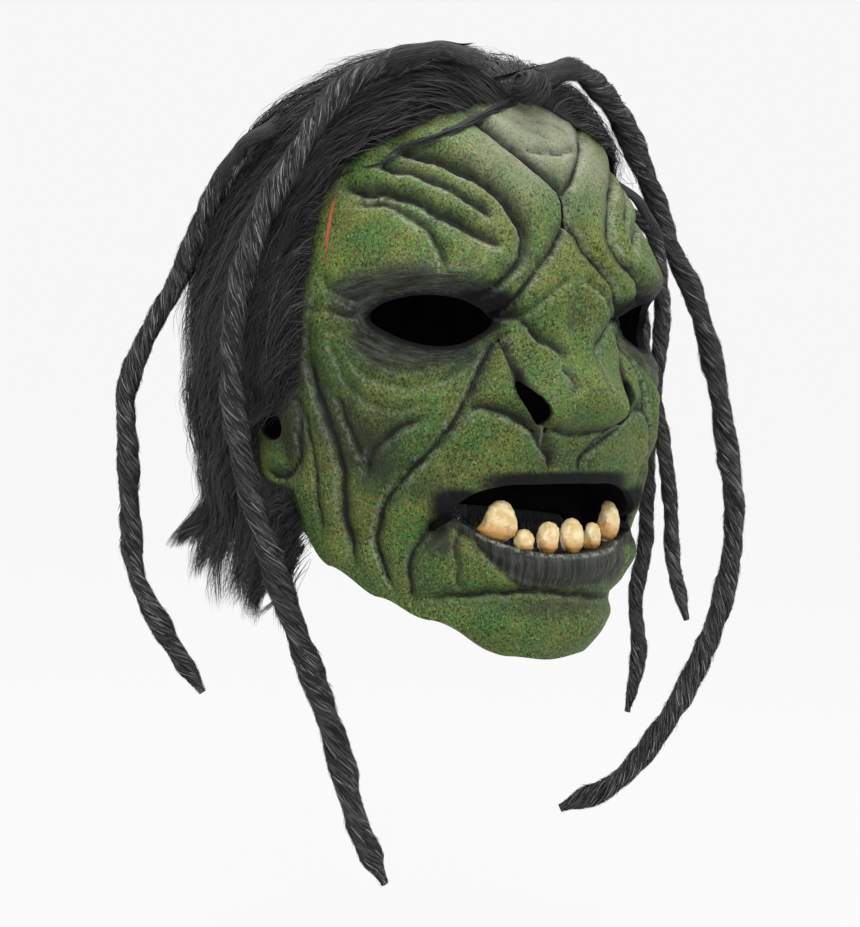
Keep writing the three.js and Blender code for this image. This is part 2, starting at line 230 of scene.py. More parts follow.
def new_piece(name, points, faces, attributes=None):
    """A mesh object from points in millimetres, with float or vector attributes per point."""
    mesh = bpy.data.meshes.new(name)
    mesh.from_pydata((np.asarray(points) * MM).tolist(), [], faces)
    for key, values in (attributes or {}).items():
        values = np.asarray(values, np.float32)
        kind = "FLOAT" if values.ndim == 1 else "FLOAT_VECTOR"
        field = "value" if values.ndim == 1 else "vector"
        mesh.attributes.new(key, kind, "POINT").data.foreach_set(field, values.ravel())
    mesh.shade_smooth()
    return new_object(name, mesh)


def grid_faces(rows, columns, start=0, wrap=False, flip=False):
    """Quads of a grid of points laid out row by row."""
    r, c = np.meshgrid(np.arange(rows - 1), np.arange(columns if wrap else columns - 1), indexing="ij")
    r, c = r.ravel(), c.ravel()
    right = (c + 1) % columns
    upper, lower = r * columns, (r + 1) * columns
    quads = np.stack([upper + c, lower + c, lower + right, upper + right], 1)
    if flip:
        quads = quads[:, ::-1]
    return quads + start


def tube_points(path, side, other, angle, radii):
    """Rings of points round a path, given its two side directions."""
    out = around(side[:, None, :], other[:, None, :], angle[None, :])
    return (path[:, None, :] + out * radii[..., None]).reshape(-1, 3)


def capped_tube(rows, columns, flip=False):
    """Faces of a closed tube: its grid and a flat cap at each end."""
    last = rows * columns - 1
    faces = grid_faces(rows, columns, wrap=True, flip=flip).tolist()
    return faces + [list(range(columns)), [last - i for i in range(columns)]]


# ---- camera: level with the brow, a little to the wearer's right ----

CAMERA_AZIMUTH = math.radians(-38)
CAMERA_ELEVATION = math.radians(4)
CAMERA_ROLL = math.radians(2.5)
CAMERA_DISTANCE = 1.5
CAMERA_LENS = 125
SENSOR_WIDTH = 36
CAMERA_TARGET = Vector((0, 0, -0.1775))


def add_camera():
    data = bpy.data.cameras.new("camera")
    data.lens = CAMERA_LENS
    data.sensor_width = SENSOR_WIDTH
    camera = new_object("camera", data)
    level = math.cos(CAMERA_ELEVATION)
    aside, ahead = math.sin(CAMERA_AZIMUTH), math.cos(CAMERA_AZIMUTH)
    back = Vector((aside * level, -ahead * level, math.sin(CAMERA_ELEVATION)))
    right = Vector((ahead, aside, 0))
    up = back.cross(right)
    turned_right = right * math.cos(CAMERA_ROLL) + up * math.sin(CAMERA_ROLL)
    turned_up = up * math.cos(CAMERA_ROLL) - right * math.sin(CAMERA_ROLL)
    pose = Matrix((turned_right, turned_up, back)).transposed().to_4x4()
    pose.translation = CAMERA_TARGET + CAMERA_DISTANCE * back
    camera.matrix_world = pose
    bpy.context.scene.camera = camera


add_camera()

# ---- materials ----


def linear(red, green, blue):
    """A colour given as 0 to 255 on screen, in the linear numbers that the shader takes."""
    values = [v / 255 for v in (red, green, blue)]
    return tuple(v / 12.92 if v <= 0.04045 else ((v + 0.055) / 1.055) ** 2.4 for v in values) + (1.0,)


class Paint:
    """A node material, built by calls that each return a socket."""

    def __init__(self, name):
        self.material = bpy.data.materials.new(name)
        self.material.use_nodes = True
        self.tree = self.material.node_tree
        self.shader = self.tree.nodes["Principled BSDF"]

    def put(self, socket, value):
        if isinstance(value, bpy.types.NodeSocket):
            self.tree.links.new(value, socket)
        else:
            socket.default_value = value

    def node(self, kind, inputs, output=0, **settings):
        made = self.tree.nodes.new(kind)
        for key, value in settings.items():
            setattr(made, key, value)
        for key, value in inputs.items():
            self.put(made.inputs[key], value)
        return made.outputs[output]

    def named(self, name, output="Fac"):
        return self.node("ShaderNodeAttribute", {}, output, attribute_name=name)

    def place(self):
        return self.node("ShaderNodeTexCoord", {}, "Object")

    def stretch(self, vector, scale):
        return self.node("ShaderNodeMapping", {"Vector": vector, "Scale": scale})

    def noise(self, vector, scale, detail=3.0, roughness=0.55, warp=0.0):
        inputs = {"Vector": vector, "Scale": scale, "Detail": detail, "Roughness": roughness}
        inputs["Distortion"] = warp
        return self.node("ShaderNodeTexNoise", inputs, "Fac")

    def math(self, operation, a, b, c=0.0):
        return self.node("ShaderNodeMath", {0: a, 1: b, 2: c}, operation=operation)

    def times(self, a, b):
        return self.math("MULTIPLY", a, b)

    def scaled(self, value, factor, added):
        return self.math("MULTIPLY_ADD", value, factor, added)

    def span(self, value, start, end, low=0.0, high=1.0):
        inputs = {"Value": value, "From Min": start, "From Max": end, "To Min": low, "To Max": high}
        return self.node("ShaderNodeMapRange", inputs, interpolation_type="SMOOTHSTEP")

    def mix(self, factor, a, b):
        return self.node("ShaderNodeMix", {0: factor, 6: a, 7: b}, 2, data_type="RGBA")

    def over(self, colour, factor, *tone):
        """The colour with a tone, given as 0 to 255 on screen, laid over it by a factor."""
        return self.mix(factor, colour, linear(*tone))

    def bump(self, height, distance, strength=1.0, normal=None):
        inputs = {"Height": height, "Distance": distance, "Strength": strength}
        if normal is not None:
            inputs["Normal"] = normal
        return self.node("ShaderNodeBump", inputs)

    def finish(self, **sockets):
        for key, value in sockets.items():
            self.put(self.shader.inputs[key.replace("_", " ")], value)
        return self.material


def latex_paint():
    """Mottled greens sprayed with fine specks, charcoal rubbed into the folds along with painted shade,
    light edges brushed on, partly as painted highlights.
    """
    p = Paint("painted_latex")
    place = p.place()
    dark, light, socket = p.named("dark"), p.named("light"), p.named("socket")
    black, lip, pale = p.named("black"), p.named("lip"), p.named("pale")
    raw, inner, wash_and_shade = p.named("raw"), p.named("inner"), p.named("wash_and_shade")
    round_eye = p.named("round_eye", "Vector")
    across_down = p.named("across_down", "Vector")

    patches = p.noise(place, 48, 5, 0.6)
    grain = p.noise(place, 620, 4, 0.75)
    specks = p.noise(p.stretch(place, (1, 1, 0.8)), 1000, 3, 0.7)
    flecks = p.noise(p.stretch(place, (1, 1, 0.7)), 900, 2, 0.6)
    sparks = p.noise(p.stretch(place, (1.15, 1.15, 0.75)), 1050, 2, 0.6)

    colour = p.mix(p.span(patches, 0.35, 0.65), linear(54, 68, 26), linear(86, 90, 38))
    colour = p.over(colour, p.span(grain, 0.44, 0.6, 0, 0.8), 108, 112, 54)
    emerald = p.times(p.span(p.noise(place, 38, 4), 0.42, 0.62), p.span(grain, 0.3, 0.62))
    colour = p.over(colour, p.times(emerald, 0.6), 38, 92, 42)
    colour = p.over(colour, p.span(sparks, 0.58, 0.65, 0, 0.85), 48, 138, 64)
    colour = p.over(colour, p.span(flecks, 0.6, 0.68, 0, 0.6), 140, 142, 92)
    # Painted highlight: a pale grey over the upper forehead.
    forehead_highlight = p.times(pale, p.span(patches, 0.25, 0.7, 0.6, 1.0))
    colour = p.over(colour, forehead_highlight, 132, 135, 115)
    freckles = p.times(p.span(specks, 0.53, 0.6), p.span(pale, 0, 1, 0.92, 0.4))
    colour = p.over(colour, freckles, 22, 29, 18)

    reach = p.scaled(p.noise(place, 150, 5, 0.7), 1.0, -0.5)
    # Painted shade: a dark wash beside the folds, under the nose and lips, on the cheeks and along the fur's
    # edge; partly the mask's own charcoal wash.
    washed_and_shaded = p.span(p.scaled(reach, 0.75, wash_and_shade), 0.2, 0.95)
    colour = p.over(colour, p.times(washed_and_shaded, 0.86), 26, 29, 23)
    # The dark line in each crease: charcoal paint and painted shade.
    rubbed_and_shaded = p.span(p.scaled(reach, 0.45, dark), 0.3, 0.6)
    rubbed_and_shaded = p.times(rubbed_and_shaded, p.span(dark, 0.02, 0.2))
    shadowed = p.span(p.scaled(reach, 0.6, socket), 0.2, 0.72)
    lipped = p.span(p.scaled(reach, 0.5, lip), 0.26, 0.66)
    streaks = p.noise(round_eye, 2.6, 5, 0.65)
    grey = p.mix(p.span(streaks, 0.36, 0.7), linear(13, 14, 14), linear(62, 64, 61))
    colour = p.mix(p.times(shadowed, 0.93), colour, grey)
    cracks = p.noise(p.stretch(across_down, (0.42, 0.045, 0.1)), 1.0, 4, 0.65)
    lip_grey = p.mix(p.span(cracks, 0.38, 0.66), linear(11, 12, 12), linear(56, 57, 55))
    colour = p.mix(p.times(lipped, 0.95), colour, lip_grey)
    colour = p.over(colour, p.times(rubbed_and_shaded, 0.95), 13, 15, 14)
    colour = p.over(colour, p.span(black, 0.3, 0.85), 11, 12, 12)
    # Light edges on the folds, the upper lid and the lower lip: brushed-on paint and painted highlights.
    brushed_and_highlight = p.times(light, p.span(p.noise(place, 420, 4, 0.75), 0.42, 0.56))
    colour = p.over(colour, p.times(brushed_and_highlight, 0.8), 150, 153, 142)
    colour = p.over(colour, p.span(raw, 0.1, 0.5, 0, 0.45), 104, 70, 44)
    torn = p.scaled(reach, 0.8, raw)
    colour = p.over(colour, p.span(torn, 0.5, 1.0, 0, 0.85), 172, 82, 60)
    # The rims darken to the inside's near-black as they go in: painted shade in the openings.
    colour = p.over(colour, inner, 13, 13, 14)

    gloss = p.span(lipped, 0.2, 0.9, 0.46, 0.3)
    gloss = p.scaled(p.span(black, 0.3, 0.85), 0.35, gloss)
    gloss = p.scaled(p.noise(place, 300, 2), 0.16, gloss)
    relief = p.bump(p.noise(place, 1000, 3, 0.6), 0.0003, 0.6)
    relief = p.bump(p.noise(p.stretch(place, (1, 1, 0.55)), 230, 5, 0.65), 0.0008, 0.55, relief)
    relief = p.bump(p.times(streaks, shadowed), 0.0026, 0.9, relief)
    cracked = p.times(p.times(cracks, lipped), p.span(black, 0.2, 0.6, 1, 0))
    relief = p.bump(cracked, 0.0026, 0.9, relief)
    return p.finish(Base_Color=colour, Roughness=gloss, Normal=relief, Specular_IOR_Level=0.2)


def inside_paint():
    """Bare latex for the inside, matt and faintly mottled, kept near-black as painted shade so that the
    openings read dark.
    """
    p = Paint("inside_latex_shade")
    mottle = p.noise(p.place(), 90, 4, 0.6)
    colour = p.mix(p.span(mottle, 0.35, 0.65), linear(7, 7, 7), linear(15, 15, 15))
    return p.finish(Base_Color=colour, Roughness=0.9, Specular_IOR_Level=0.05)


def tooth_paint():
    """Ivory enamel with brown stains near the gum and small pits."""
    p = Paint("stained_tooth")
    place = p.place()
    height = p.named("height")
    blotches = p.noise(place, 210, 4, 0.65)
    colour = p.mix(p.span(blotches, 0.35, 0.65), linear(196, 168, 108), linear(228, 211, 170))
    stain = p.scaled(blotches, 1.0, p.span(height, 0.0, 0.8, 0.5, -0.4))
    colour = p.over(colour, p.span(stain, 0.35, 0.85, 0, 0.9), 176, 124, 52)
    ochre = p.noise(place, 420, 4, 0.7)
    colour = p.over(colour, p.span(ochre, 0.5, 0.66, 0, 0.7), 172, 128, 62)
    root = p.scaled(blotches, 0.4, p.span(height, 0.0, 0.28, 0.7, -0.4))
    colour = p.over(colour, p.span(root, 0.3, 0.75, 0, 0.9), 84, 58, 30)
    colour = p.over(colour, p.span(p.noise(place, 900, 2), 0.64, 0.74, 0, 0.5), 128, 88, 44)
    relief = p.bump(p.noise(place, 500, 4, 0.6), 0.0005, 0.5)
    return p.finish(
        Base_Color=colour, Roughness=0.36, Normal=relief, Coat_Weight=0.25, Coat_Roughness=0.25,
        Subsurface_Weight=0.08, Subsurface_Radius=(0.004, 0.003, 0.002),
    )


def fur_paint():
    """Black faux fur: each strand a little lighter or darker, with a soft grey shine along it."""
    p = Paint("black_fur")
    shade = p.named("shade")
    colour = p.mix(p.span(shade, 0.0, 0.9), linear(5, 5, 6), linear(64, 64, 66))
    colour = p.over(colour, p.span(shade, 0.82, 1.0, 0, 0.8), 100, 100, 103)
    lay = p.named("lay", "Vector")
    bare = p.node("ShaderNodeSeparateXYZ", {"Vector": lay}, "Z")
    combing = p.noise(p.stretch(lay, (1, 1, 0)), 1.6, 4, 0.75)
    colour = p.over(colour, p.times(bare, p.span(combing, 0.42, 0.66, 0, 0.75)), 44, 44, 46)
    streak = p.noise(p.stretch(p.place(), (1, 1, 0.35)), 500, 3)
    colour = p.over(colour, p.span(streak, 0.3, 0.7, 0, 0.4), 14, 14, 15)
    relief = p.bump(p.times(bare, combing), 0.004, 1.0)
    return p.finish(
        Base_Color=colour, Roughness=0.62, Normal=relief, Specular_IOR_Level=0.25,
        Sheen_Weight=0.08, Sheen_Roughness=0.5,
    )


def wool_paint():
    """Twisted black wool: streaks along the lay, grooves darkened as painted shade, and pale loose fibres,
    the palest as painted highlights.
    """
    p = Paint("black_wool")
    shade, raised, fibre = p.named("shade"), p.named("raised"), p.named("fibre")
    streak = p.noise(p.named("yarn", "Vector"), 1.5, 4, 0.7, 0.6)
    core = p.mix(p.span(streak, 0.36, 0.68), linear(9, 9, 10), linear(64, 63, 64))
    # Painted shade: the grooves between the plies are darkened.
    core = p.over(core, p.span(raised, 0.05, 0.7, 0.9, 0), 7, 7, 8)
    strand = p.mix(p.span(shade, 0.1, 0.95), linear(16, 16, 17), linear(86, 85, 84))
    # Painted highlight: the palest loose fibres are lifted to light grey.
    strand = p.over(strand, p.span(shade, 0.88, 1.0, 0, 0.9), 146, 144, 140)
    colour = p.mix(fibre, core, strand)
    relief = p.bump(p.times(streak, p.span(fibre, 0, 1, 1, 0)), 0.0011, 0.9)
    return p.finish(Base_Color=colour, Roughness=0.7, Normal=relief, Specular_IOR_Level=0.28)


LATEX_PAINT = latex_paint()
INSIDE_PAINT = inside_paint()
TOOTH_PAINT = tooth_paint()
FUR_PAINT = fur_paint()
WOOL_PAINT = wool_paint()

# ---- dreadlocks: twisted wool, each one rope from its root in the wig to its bare tip ----

DREADS = {
    "right_front": {
        "covered": 14,
        "radius": 5.5,
        "lying": [(-41, -40, 10), (-54, -34, 5), (-73, -24, -6), (-96, -20, -37), (-107, -11, -64),
                  (-115, -5, -99), (-116, -3, -135), (-111, -5, -170)],
        "hanging": [(-111, -5, -170), (-103, -12, -205), (-84, -18, -254), (-66, -24, -300),
                    (-55, -31, -341), (-45, -38, -365)],
    },
    "right_rear": {
        "covered": 12,
        "radius": 4.5,
        "lying": [(-95, 27, -37), (-103, 43, -67), (-104, 59, -95)],
        "hanging": [(-104, 59, -95), (-115, 67, -122), (-121, 74, -149), (-119, 74, -178), (-117, 73, -209),
                    (-114, 71, -234), (-106, 62, -256), (-90, 48, -287)],
    },
    "left_front": {
        "covered": 10,
        "radius": 5,
        "lying": [(10, -62, 4), (28, -58, 6), (47, -50, 1), (67, -44, -11), (85, -39, -30), (100, -36, -50),
                  (112, -34, -70)],
        "hanging": [(112, -34, -70), (126, -35, -90), (139, -39, -125), (148, -42, -164), (153, -45, -198),
                    (150, -43, -242), (142, -38, -271), (128, -27, -307), (112, -13, -334), (91, 2, -347)],
    },
    "left_middle": {
        "covered": 12,
        "radius": 3.5,
        "lying": [(88, -40, -54), (98, -39, -68), (106, -36, -86), (110, -34, -104)],
        "hanging": [(110, -34, -104), (112, -31, -122), (111, -30, -141), (116, -32, -165), (121, -34, -194),
                    (123, -36, -223), (129, -41, -251)],
    },
    "left_rear": {
        "covered": 12,
        "radius": 3.5,
        "lying": [(109, -7, -78), (116, -8, -96), (120, -9, -112), (122, -9, -130)],
        "hanging": [(122, -9, -130), (126, -10, -150), (127, -10, -191), (127, -11, -215), (124, -9, -245),
                    (126, -11, -270), (123, -8, -300)],
    },
}
TWIST_LENGTH = 9.6  # length of one full twist, in radii
PLIES = 3
ROPE_SIDES = 30
RING_SPACING = 1.2
TIP_TAPER = 16  # length over which the tip thins out
ROOT_SHARE = 0.62  # thickness of the rope at its root, as a share
ROOT_TAPER = 14
ROOT_SINK = 5  # how far the start of the rope lies under the hair's surface
FIBRES_PER_MM = 13
FIBRE_WIDTH = 0.30
FIBRE_POINTS = 6


def frames_along(path):
    """Tangent and two steady side directions at each point of a path."""
    tangent = unit(np.gradient(path, axis=0))
    side = np.cross(tangent[0], (0.0, 0.0, 1.0) if abs(tangent[0][2]) < 0.9 else (1.0, 0.0, 0.0))
    sides = []
    for t in tangent:
        side = side - t * np.dot(side, t)
        side /= np.linalg.norm(side)
        sides.append(side)
    sides = np.array(sides)
    return tangent, sides, np.cross(tangent, sides)


def wobble(rng, count, cell, size):
    """Smooth random values along a line: a new one every cell points, between -size and size."""
    knots = rng.uniform(-size, size, int(count / cell) + 3)
    x = np.arange(count) / cell
    i = x.astype(int)
    t = x - i
    t = t * t * (3 - 2 * t)
    return knots[i] * (1 - t) + knots[i + 1] * t


def twist_at(radius, place):
    """How far the plies have turned at a distance along the rope; the lay is left-handed."""
    return -2 * math.pi * place / (TWIST_LENGTH * radius)


def ply_ridge(radius, place, angle):
    """1 on the crest of a ply and 0 in the groove between two."""
    return np.abs(np.cos(0.5 * PLIES * (angle - twist_at(radius, place))))


def rope_radius(radius, place, angle, length, swell):
    """Radius of the twisted rope at a distance along it and an angle round it."""
    oval = np.cos(2 * (angle - twist_at(radius, place) * 0.6) + 1.0)
    shape = 0.82 + 0.20 * ply_ridge(radius, place, angle) ** 0.8 + 0.07 * oval
    tip = 0.28 + 0.72 * smooth_step(length - place, 0, TIP_TAPER)
    root = ROOT_SHARE + (1 - ROOT_SHARE) * smooth_step(place, 0, ROOT_TAPER)
    return radius * shape * tip * root * (1 + swell)


def ribbons(paths, widths, normals):
    """Flat tapered strands: paths (n, k, 3), widths (n, k), normals (n, k, 3). Gives points and quads."""
    n, k, _ = paths.shape
    tangent = np.gradient(paths, axis=1)
    side = np.cross(tangent, normals)
    side /= np.linalg.norm(side, axis=2, keepdims=True) + 1e-9
    half = side * (widths * 0.5)[..., None]
    points = np.stack([paths - half, paths + half], axis=2).reshape(-1, 3)
    first = (np.arange(n)[:, None] * k + np.arange(k - 1)[None, :]).ravel() * 2
    quads = np.stack([first, first + 1, first + 3, first + 2], 1)
    return points, quads


def rope(name, radius, path, seed):
    """The wool core and the loose fibres on it, as one mesh."""
    rng = np.random.default_rng(seed)
    _, side, other = frames_along(path)
    rows = np.arange(len(path))
    place = distance_along(path)
    length = place[-1]
    swell = wobble(rng, len(path), 11, 0.13) + wobble(rng, len(path), 5, 0.07)
    angle = round_ring(ROPE_SIDES)
    radii = rope_radius(radius, place[:, None], angle[None, :], length, swell[:, None])
    radii += rng.normal(0, 0.13, radii.shape)
    core = tube_points(path, side, other, angle, radii)
    faces = capped_tube(len(path), ROPE_SIDES)
    laid = angle[None, :] - twist_at(radius, place[:, None])
    yarn = np.stack([radius * np.cos(laid), radius * np.sin(laid), 0.2 * place[:, None] + 0 * laid], -1)

    count = int(length * FIBRES_PER_MM)
    start = rng.uniform(-3, length - 3, count)
    run = rng.uniform(4, 11, count)
    t = np.linspace(0, 1, FIBRE_POINTS)
    s = np.clip(start[:, None] + run[:, None] * t[None, :], 0, length)
    turns = twist_at(radius, s) - twist_at(radius, s[:, :1])
    theta = rng.uniform(0, 2 * math.pi, (count, 1)) + turns * rng.uniform(0.6, 1.35, (count, 1))
    row = np.interp(s, place, rows)
    centre, a, b = (read_along(row, rows, values) for values in (path, side, other))
    stray = rng.random(count) ** 7 * 0.32 * radius
    sunk = 0.32 * (2 * t - 1) ** 2
    raised = 0.22 - sunk[None, :] + stray[:, None] * t[None, :] ** 2 + rng.uniform(0, 0.35, (count, 1))
    r = rope_radius(radius, s, theta, length, np.interp(row, rows, swell)) + raised
    normal = around(a, b, theta)
    paths = centre + normal * r[..., None]
    widths = FIBRE_WIDTH * (0.4 + 0.6 * np.sin(math.pi * np.clip(t, 0.06, 0.94)))[None, :]
    widths = widths * rng.uniform(0.6, 1.4, (count, 1))
    fibre_points, fibre_quads = ribbons(paths, widths, normal)
    groove = ply_ridge(radius, place[:, None], angle[None, :]).ravel()
    loose = np.zeros(len(fibre_points))
    values = {
        "shade": np.r_[np.zeros(len(core)), np.repeat(rng.random(count), 2 * FIBRE_POINTS)],
        "raised": np.r_[groove, loose + 1],
        "fibre": np.r_[np.zeros(len(core)), loose + 1],
        "yarn": np.concatenate([yarn.reshape(-1, 3), np.zeros((len(fibre_points), 3))]),
    }
    points = np.concatenate([core, fibre_points])
    faces += (fibre_quads + len(core)).tolist()
    return new_piece(name, points, faces, values), length


for number, (dread, sizes) in enumerate(DREADS.items()):
    route = resample(sizes["lying"] + sizes["hanging"][1:], RING_SPACING)
    sunk = ROOT_SINK * smooth_step(ROOT_TAPER - RING_SPACING * np.arange(len(route)), 0, ROOT_TAPER)
    route = route - outward(route) * sunk[:, None]
    piece, route_length = rope(f"dreadlock_{dread}", sizes["radius"], route, SEED + number)
    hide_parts(f"dread_{dread}", f"dread_{dread}_root")
    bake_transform(piece)
    piece.data.materials.append(WOOL_PAINT)

# ---- the latex skin: sculpted folds, openings, rims and a plain inside ----

# Openings seen from the front as (x, drop), the same as in the CAD. The eye is on the wearer's left.
EYE = [(80, 111), (77, 105), (70, 101), (58, 100), (47, 103), (37, 110), (49, 120), (62, 122), (73, 118)]
MOUTH = [(-45, 186), (-33, 182), (-15, 181), (15, 181), (33, 182), (45, 186), (56, 197), (51, 204),
         (34, 209.5), (15, 212), (-14, 211), (-30, 207), (-43, 201), (-52, 194)]
NOSTRIL = {"x": 27, "drop": 145, "length": 21, "width": 8, "lean": -0.45}
EAR_HOLE = {"across": 154, "drop": 161, "half_length": 10.5, "half_height": 7.5}

# Extra modelling that the CAD leaves out: across, drop, height, half width and half height, on both sides.
SCULPT_LUMPS = [
    (47, 110, -5, 10, 8),  # deep inner corner of the eye
    (58, 93, 3.5, 26, 7),  # roll of the brow over the eye
    (36, 82, 2.5, 12, 16),  # swelling at the inner end of the brow
    (78, 128, 2.2, 26, 7),  # bag under the eye
    (16, 99, 3.0, 12, 9),  # side of the bridge
    (0, 92, 2.0, 12, 10),  # root of the nose
    (0, 116, -2.6, 5, 13),  # dent down the bridge
    (34, 137, 3.5, 8, 11),  # flare of the nostril
    (26, 168, 2.6, 20, 9),  # puffed upper lip
    (64, 176, 2.5, 13, 18),  # fold beside the mouth
    (98, 158, 2.5, 9, 26),  # cheek roll
    (120, 176, 2.5, 9, 30),  # rear cheek roll
    (64, 214, 4.0, 11, 11),  # bag at the corner of the mouth
    (30, 216, 2.2, 24, 6),  # fullness of the lower lip
    (0, 234, -2.5, 50, 5),  # hollow under the lower lip
    (24, 248, 2.0, 16, 9),  # chin
    (55, 58, 1.6, 24, 9),  # forehead roll
    (15, 62, 1.6, 12, 16),  # forehead between the folds
    (142, 150, 2.2, 7, 16),  # ear edge
]

# Folds: depth, half width, darkness of the line and wash (charcoal and painted shade), strength of the light
# edge (brushed paint and painted highlight), and the line as (across, drop).
# Those in PAIRED_FOLDS are on both sides, and those in SINGLE_FOLDS are where their sign puts them.
PAIRED_FOLDS = [
    (3.6, 2.3, 1.0, 0.9, [(104, 33), (90, 37), (76, 39), (56, 45), (39, 54), (30, 65), (27, 73), (30, 82),
                          (37, 90), (47, 98), (57, 101)]),
    (2.6, 1.8, 0.95, 0.9, [(108, 42), (94, 46), (83, 47), (70, 51), (56, 57), (46, 63), (40, 68)]),
    (3.0, 2.0, 1.0, 0.9, [(126, 53), (110, 56), (94, 56), (78, 60), (67, 65), (53, 71), (43, 76),
                          (36, 80)]),
    (2.2, 1.8, 0.85, 0.8, [(116, 62), (102, 61), (90, 62), (80, 67), (71, 73), (66, 81), (63, 92)]),
    (2.2, 1.6, 0.9, 0.9, [(48, 106), (38, 108), (28, 109), (19, 117), (11, 122), (9, 128)]),
    (1.6, 1.4, 0.7, 0.8, [(30, 110), (24, 105), (17, 99), (9, 93), (3, 90)]),
    (1.5, 1.6, 0.7, 0.5, [(11, 128), (9, 136), (12, 141)]),
    (2.2, 1.6, 1.0, 0.4, [(37, 117), (34, 124), (32, 131), (28, 139), (22, 148)]),
    (3.2, 1.9, 1.0, 1.0, [(28, 112), (38, 119), (44, 127), (48, 135), (57, 154), (69, 171), (82, 185),
                          (89, 198), (92, 209), (88, 220), (81, 234)]),
    (2.4, 2.0, 1.0, 0.6, [(54, 150), (47, 148), (38, 149), (28, 154), (18, 162), (10, 170), (8, 178)]),
    (1.6, 1.3, 0.8, 0.7, [(22, 151), (17, 157), (13, 164)]),
    (1.2, 1.6, 0.5, 0.3, [(60, 168), (58, 178), (56, 188)]),
    (2.6, 3.0, 1.0, 0.4, [(129, 128), (123, 142), (116, 154), (111, 167), (108, 182), (109, 200),
                          (104, 222)]),
    (2.0, 2.6, 0.9, 0.4, [(110, 144), (103, 158), (97, 170), (94, 180)]),
    (1.8, 2.4, 0.85, 0.4, [(66, 152), (76, 156), (86, 163), (93, 171), (96, 181)]),
    (2.0, 2.6, 0.8, 0.3, [(130, 150), (125, 168), (123, 188), (127, 210)]),
    (1.3, 1.6, 0.6, 0.4, [(118, 121), (112, 127), (107, 136), (100, 145)]),
    (1.1, 1.4, 0.5, 0.4, [(108, 123), (99, 134), (90, 138), (80, 140), (64, 137), (50, 127), (44, 118)]),
    (0.8, 1.2, 0.4, 0.2, [(103, 121), (94, 129), (80, 133), (66, 131), (54, 124)]),
    (0.6, 1.0, 0.4, 0.2, [(99, 117), (90, 124), (78, 127), (66, 126)]),
    (1.0, 1.1, 0.7, 0.5, [(102, 111), (110, 111), (119, 109), (127, 110)]),
    (0.8, 1.0, 0.5, 0.4, [(104, 107), (112, 104), (120, 103)]),
    (0.8, 1.0, 0.5, 0.4, [(104, 115), (112, 118), (119, 118)]),
    (1.2, 1.5, 0.6, 0.4, [(125, 93), (118, 99), (110, 102), (103, 103)]),
    (1.4, 1.8, 0.6, 0.3, [(124, 100), (127, 112), (128, 126), (126, 140)]),
    (2.4, 1.7, 1.0, 0.5, [(54, 194), (62, 200), (69, 207), (73, 214), (74, 223), (72, 236)]),
    (2.6, 2.4, 1.0, 0.1, [(44, 190), (52, 194), (59, 198), (66, 204)]),
    (1.6, 1.6, 0.8, 0.4, [(51, 200), (53, 210), (52, 220), (50, 229)]),
    (0.9, 1.4, 0.5, 0.3, [(44, 205), (38, 213), (32, 218)]),
    (1.2, 1.5, 0.5, 0.3, [(70, 145), (79, 150), (90, 149), (101, 143)]),
    (2.0, 1.5, 0.8, 0.6, [(137, 140), (142, 136), (147, 138), (150, 145)]),
    (1.6, 2.2, 1.0, 0.4, [(133, 143), (132, 153), (133, 165), (135, 175), (141, 182), (151, 185),
                          (161, 182)]),
]
SINGLE_FOLDS = [
    (2.8, 1.8, 1.0, 1.0, [(-54, 17), (-43, 24), (-29, 32), (-17, 41), (-7, 48), (0, 55), (0, 63),
                          (-8, 74), (-18, 84), (-26, 92), (-34, 102), (-43, 109), (-51, 112)]),
    (2.6, 1.7, 0.95, 0.9, [(44, 21), (30, 30), (20, 37), (9, 46), (1, 54), (0, 63), (4, 71), (11, 81),
                           (19, 90), (25, 99), (38, 110)]),
    (0.9, 1.3, 0.5, 0.8, [(-28, 18), (-18, 22), (-8, 22), (3, 21), (14, 23), (26, 27)]),
    (1.5, 1.5, 0.7, 0.9, [(-22, 33), (-11, 35), (0, 35), (12, 34), (22, 32)]),
    (0.7, 1.1, 0.5, 0.5, [(-12, 25), (-5, 28), (4, 29)]),
    (2.2, 1.7, 0.95, 0.3, [(-70, 234), (-54, 232), (-36, 230), (-18, 229), (8, 231), (36, 234),
                           (66, 233)]),
    (1.0, 1.8, 0.4, 0.2, [(-50, 203), (-34, 216), (-20, 222), (6, 225), (33, 222), (50, 203)]),
    (0.7, 1.6, 0.4, 0.1, [(-2, 160), (-1, 168), (-2, 176)]),
    (1.8, 1.8, 0.85, 0.3, [(-19, 155), (-9, 158), (0, 159), (9, 158), (19, 155)]),
]
SIDES = (-1, 1)  # the wearer's right and left
ROUGH_RADIUS = 110  # a first guess at the head's radius, made exact in steps
CELLS = {"face": 1.12, "temple": 2.0, "rear": 9.0}
FACE_END = 130  # across distance up to which the grid is finest
TEMPLE_END = 168
DOME_SHARE = 0.46  # share of the grid's rows that lie over the dome
NEAR = 12  # distance from an opening beyond which it no longer matters
CROWN = (0.0, 0.0)  # the top of the head, as (across, drop)
SNAP = 3.5  # how far a grid point may be moved to lie on the edge of an opening


def to_across(x, drop):
    """The across distance of the point on the skin that lies at x, seen from the front."""
    turn = np.arcsin(np.clip(x / ROUGH_RADIUS, -1, 1))
    for _ in range(60):
        turn = 0.5 * turn + 0.5 * np.arcsin(np.clip(x / face_radius(turn, drop), -0.999, 0.999))
    return turn * ARC


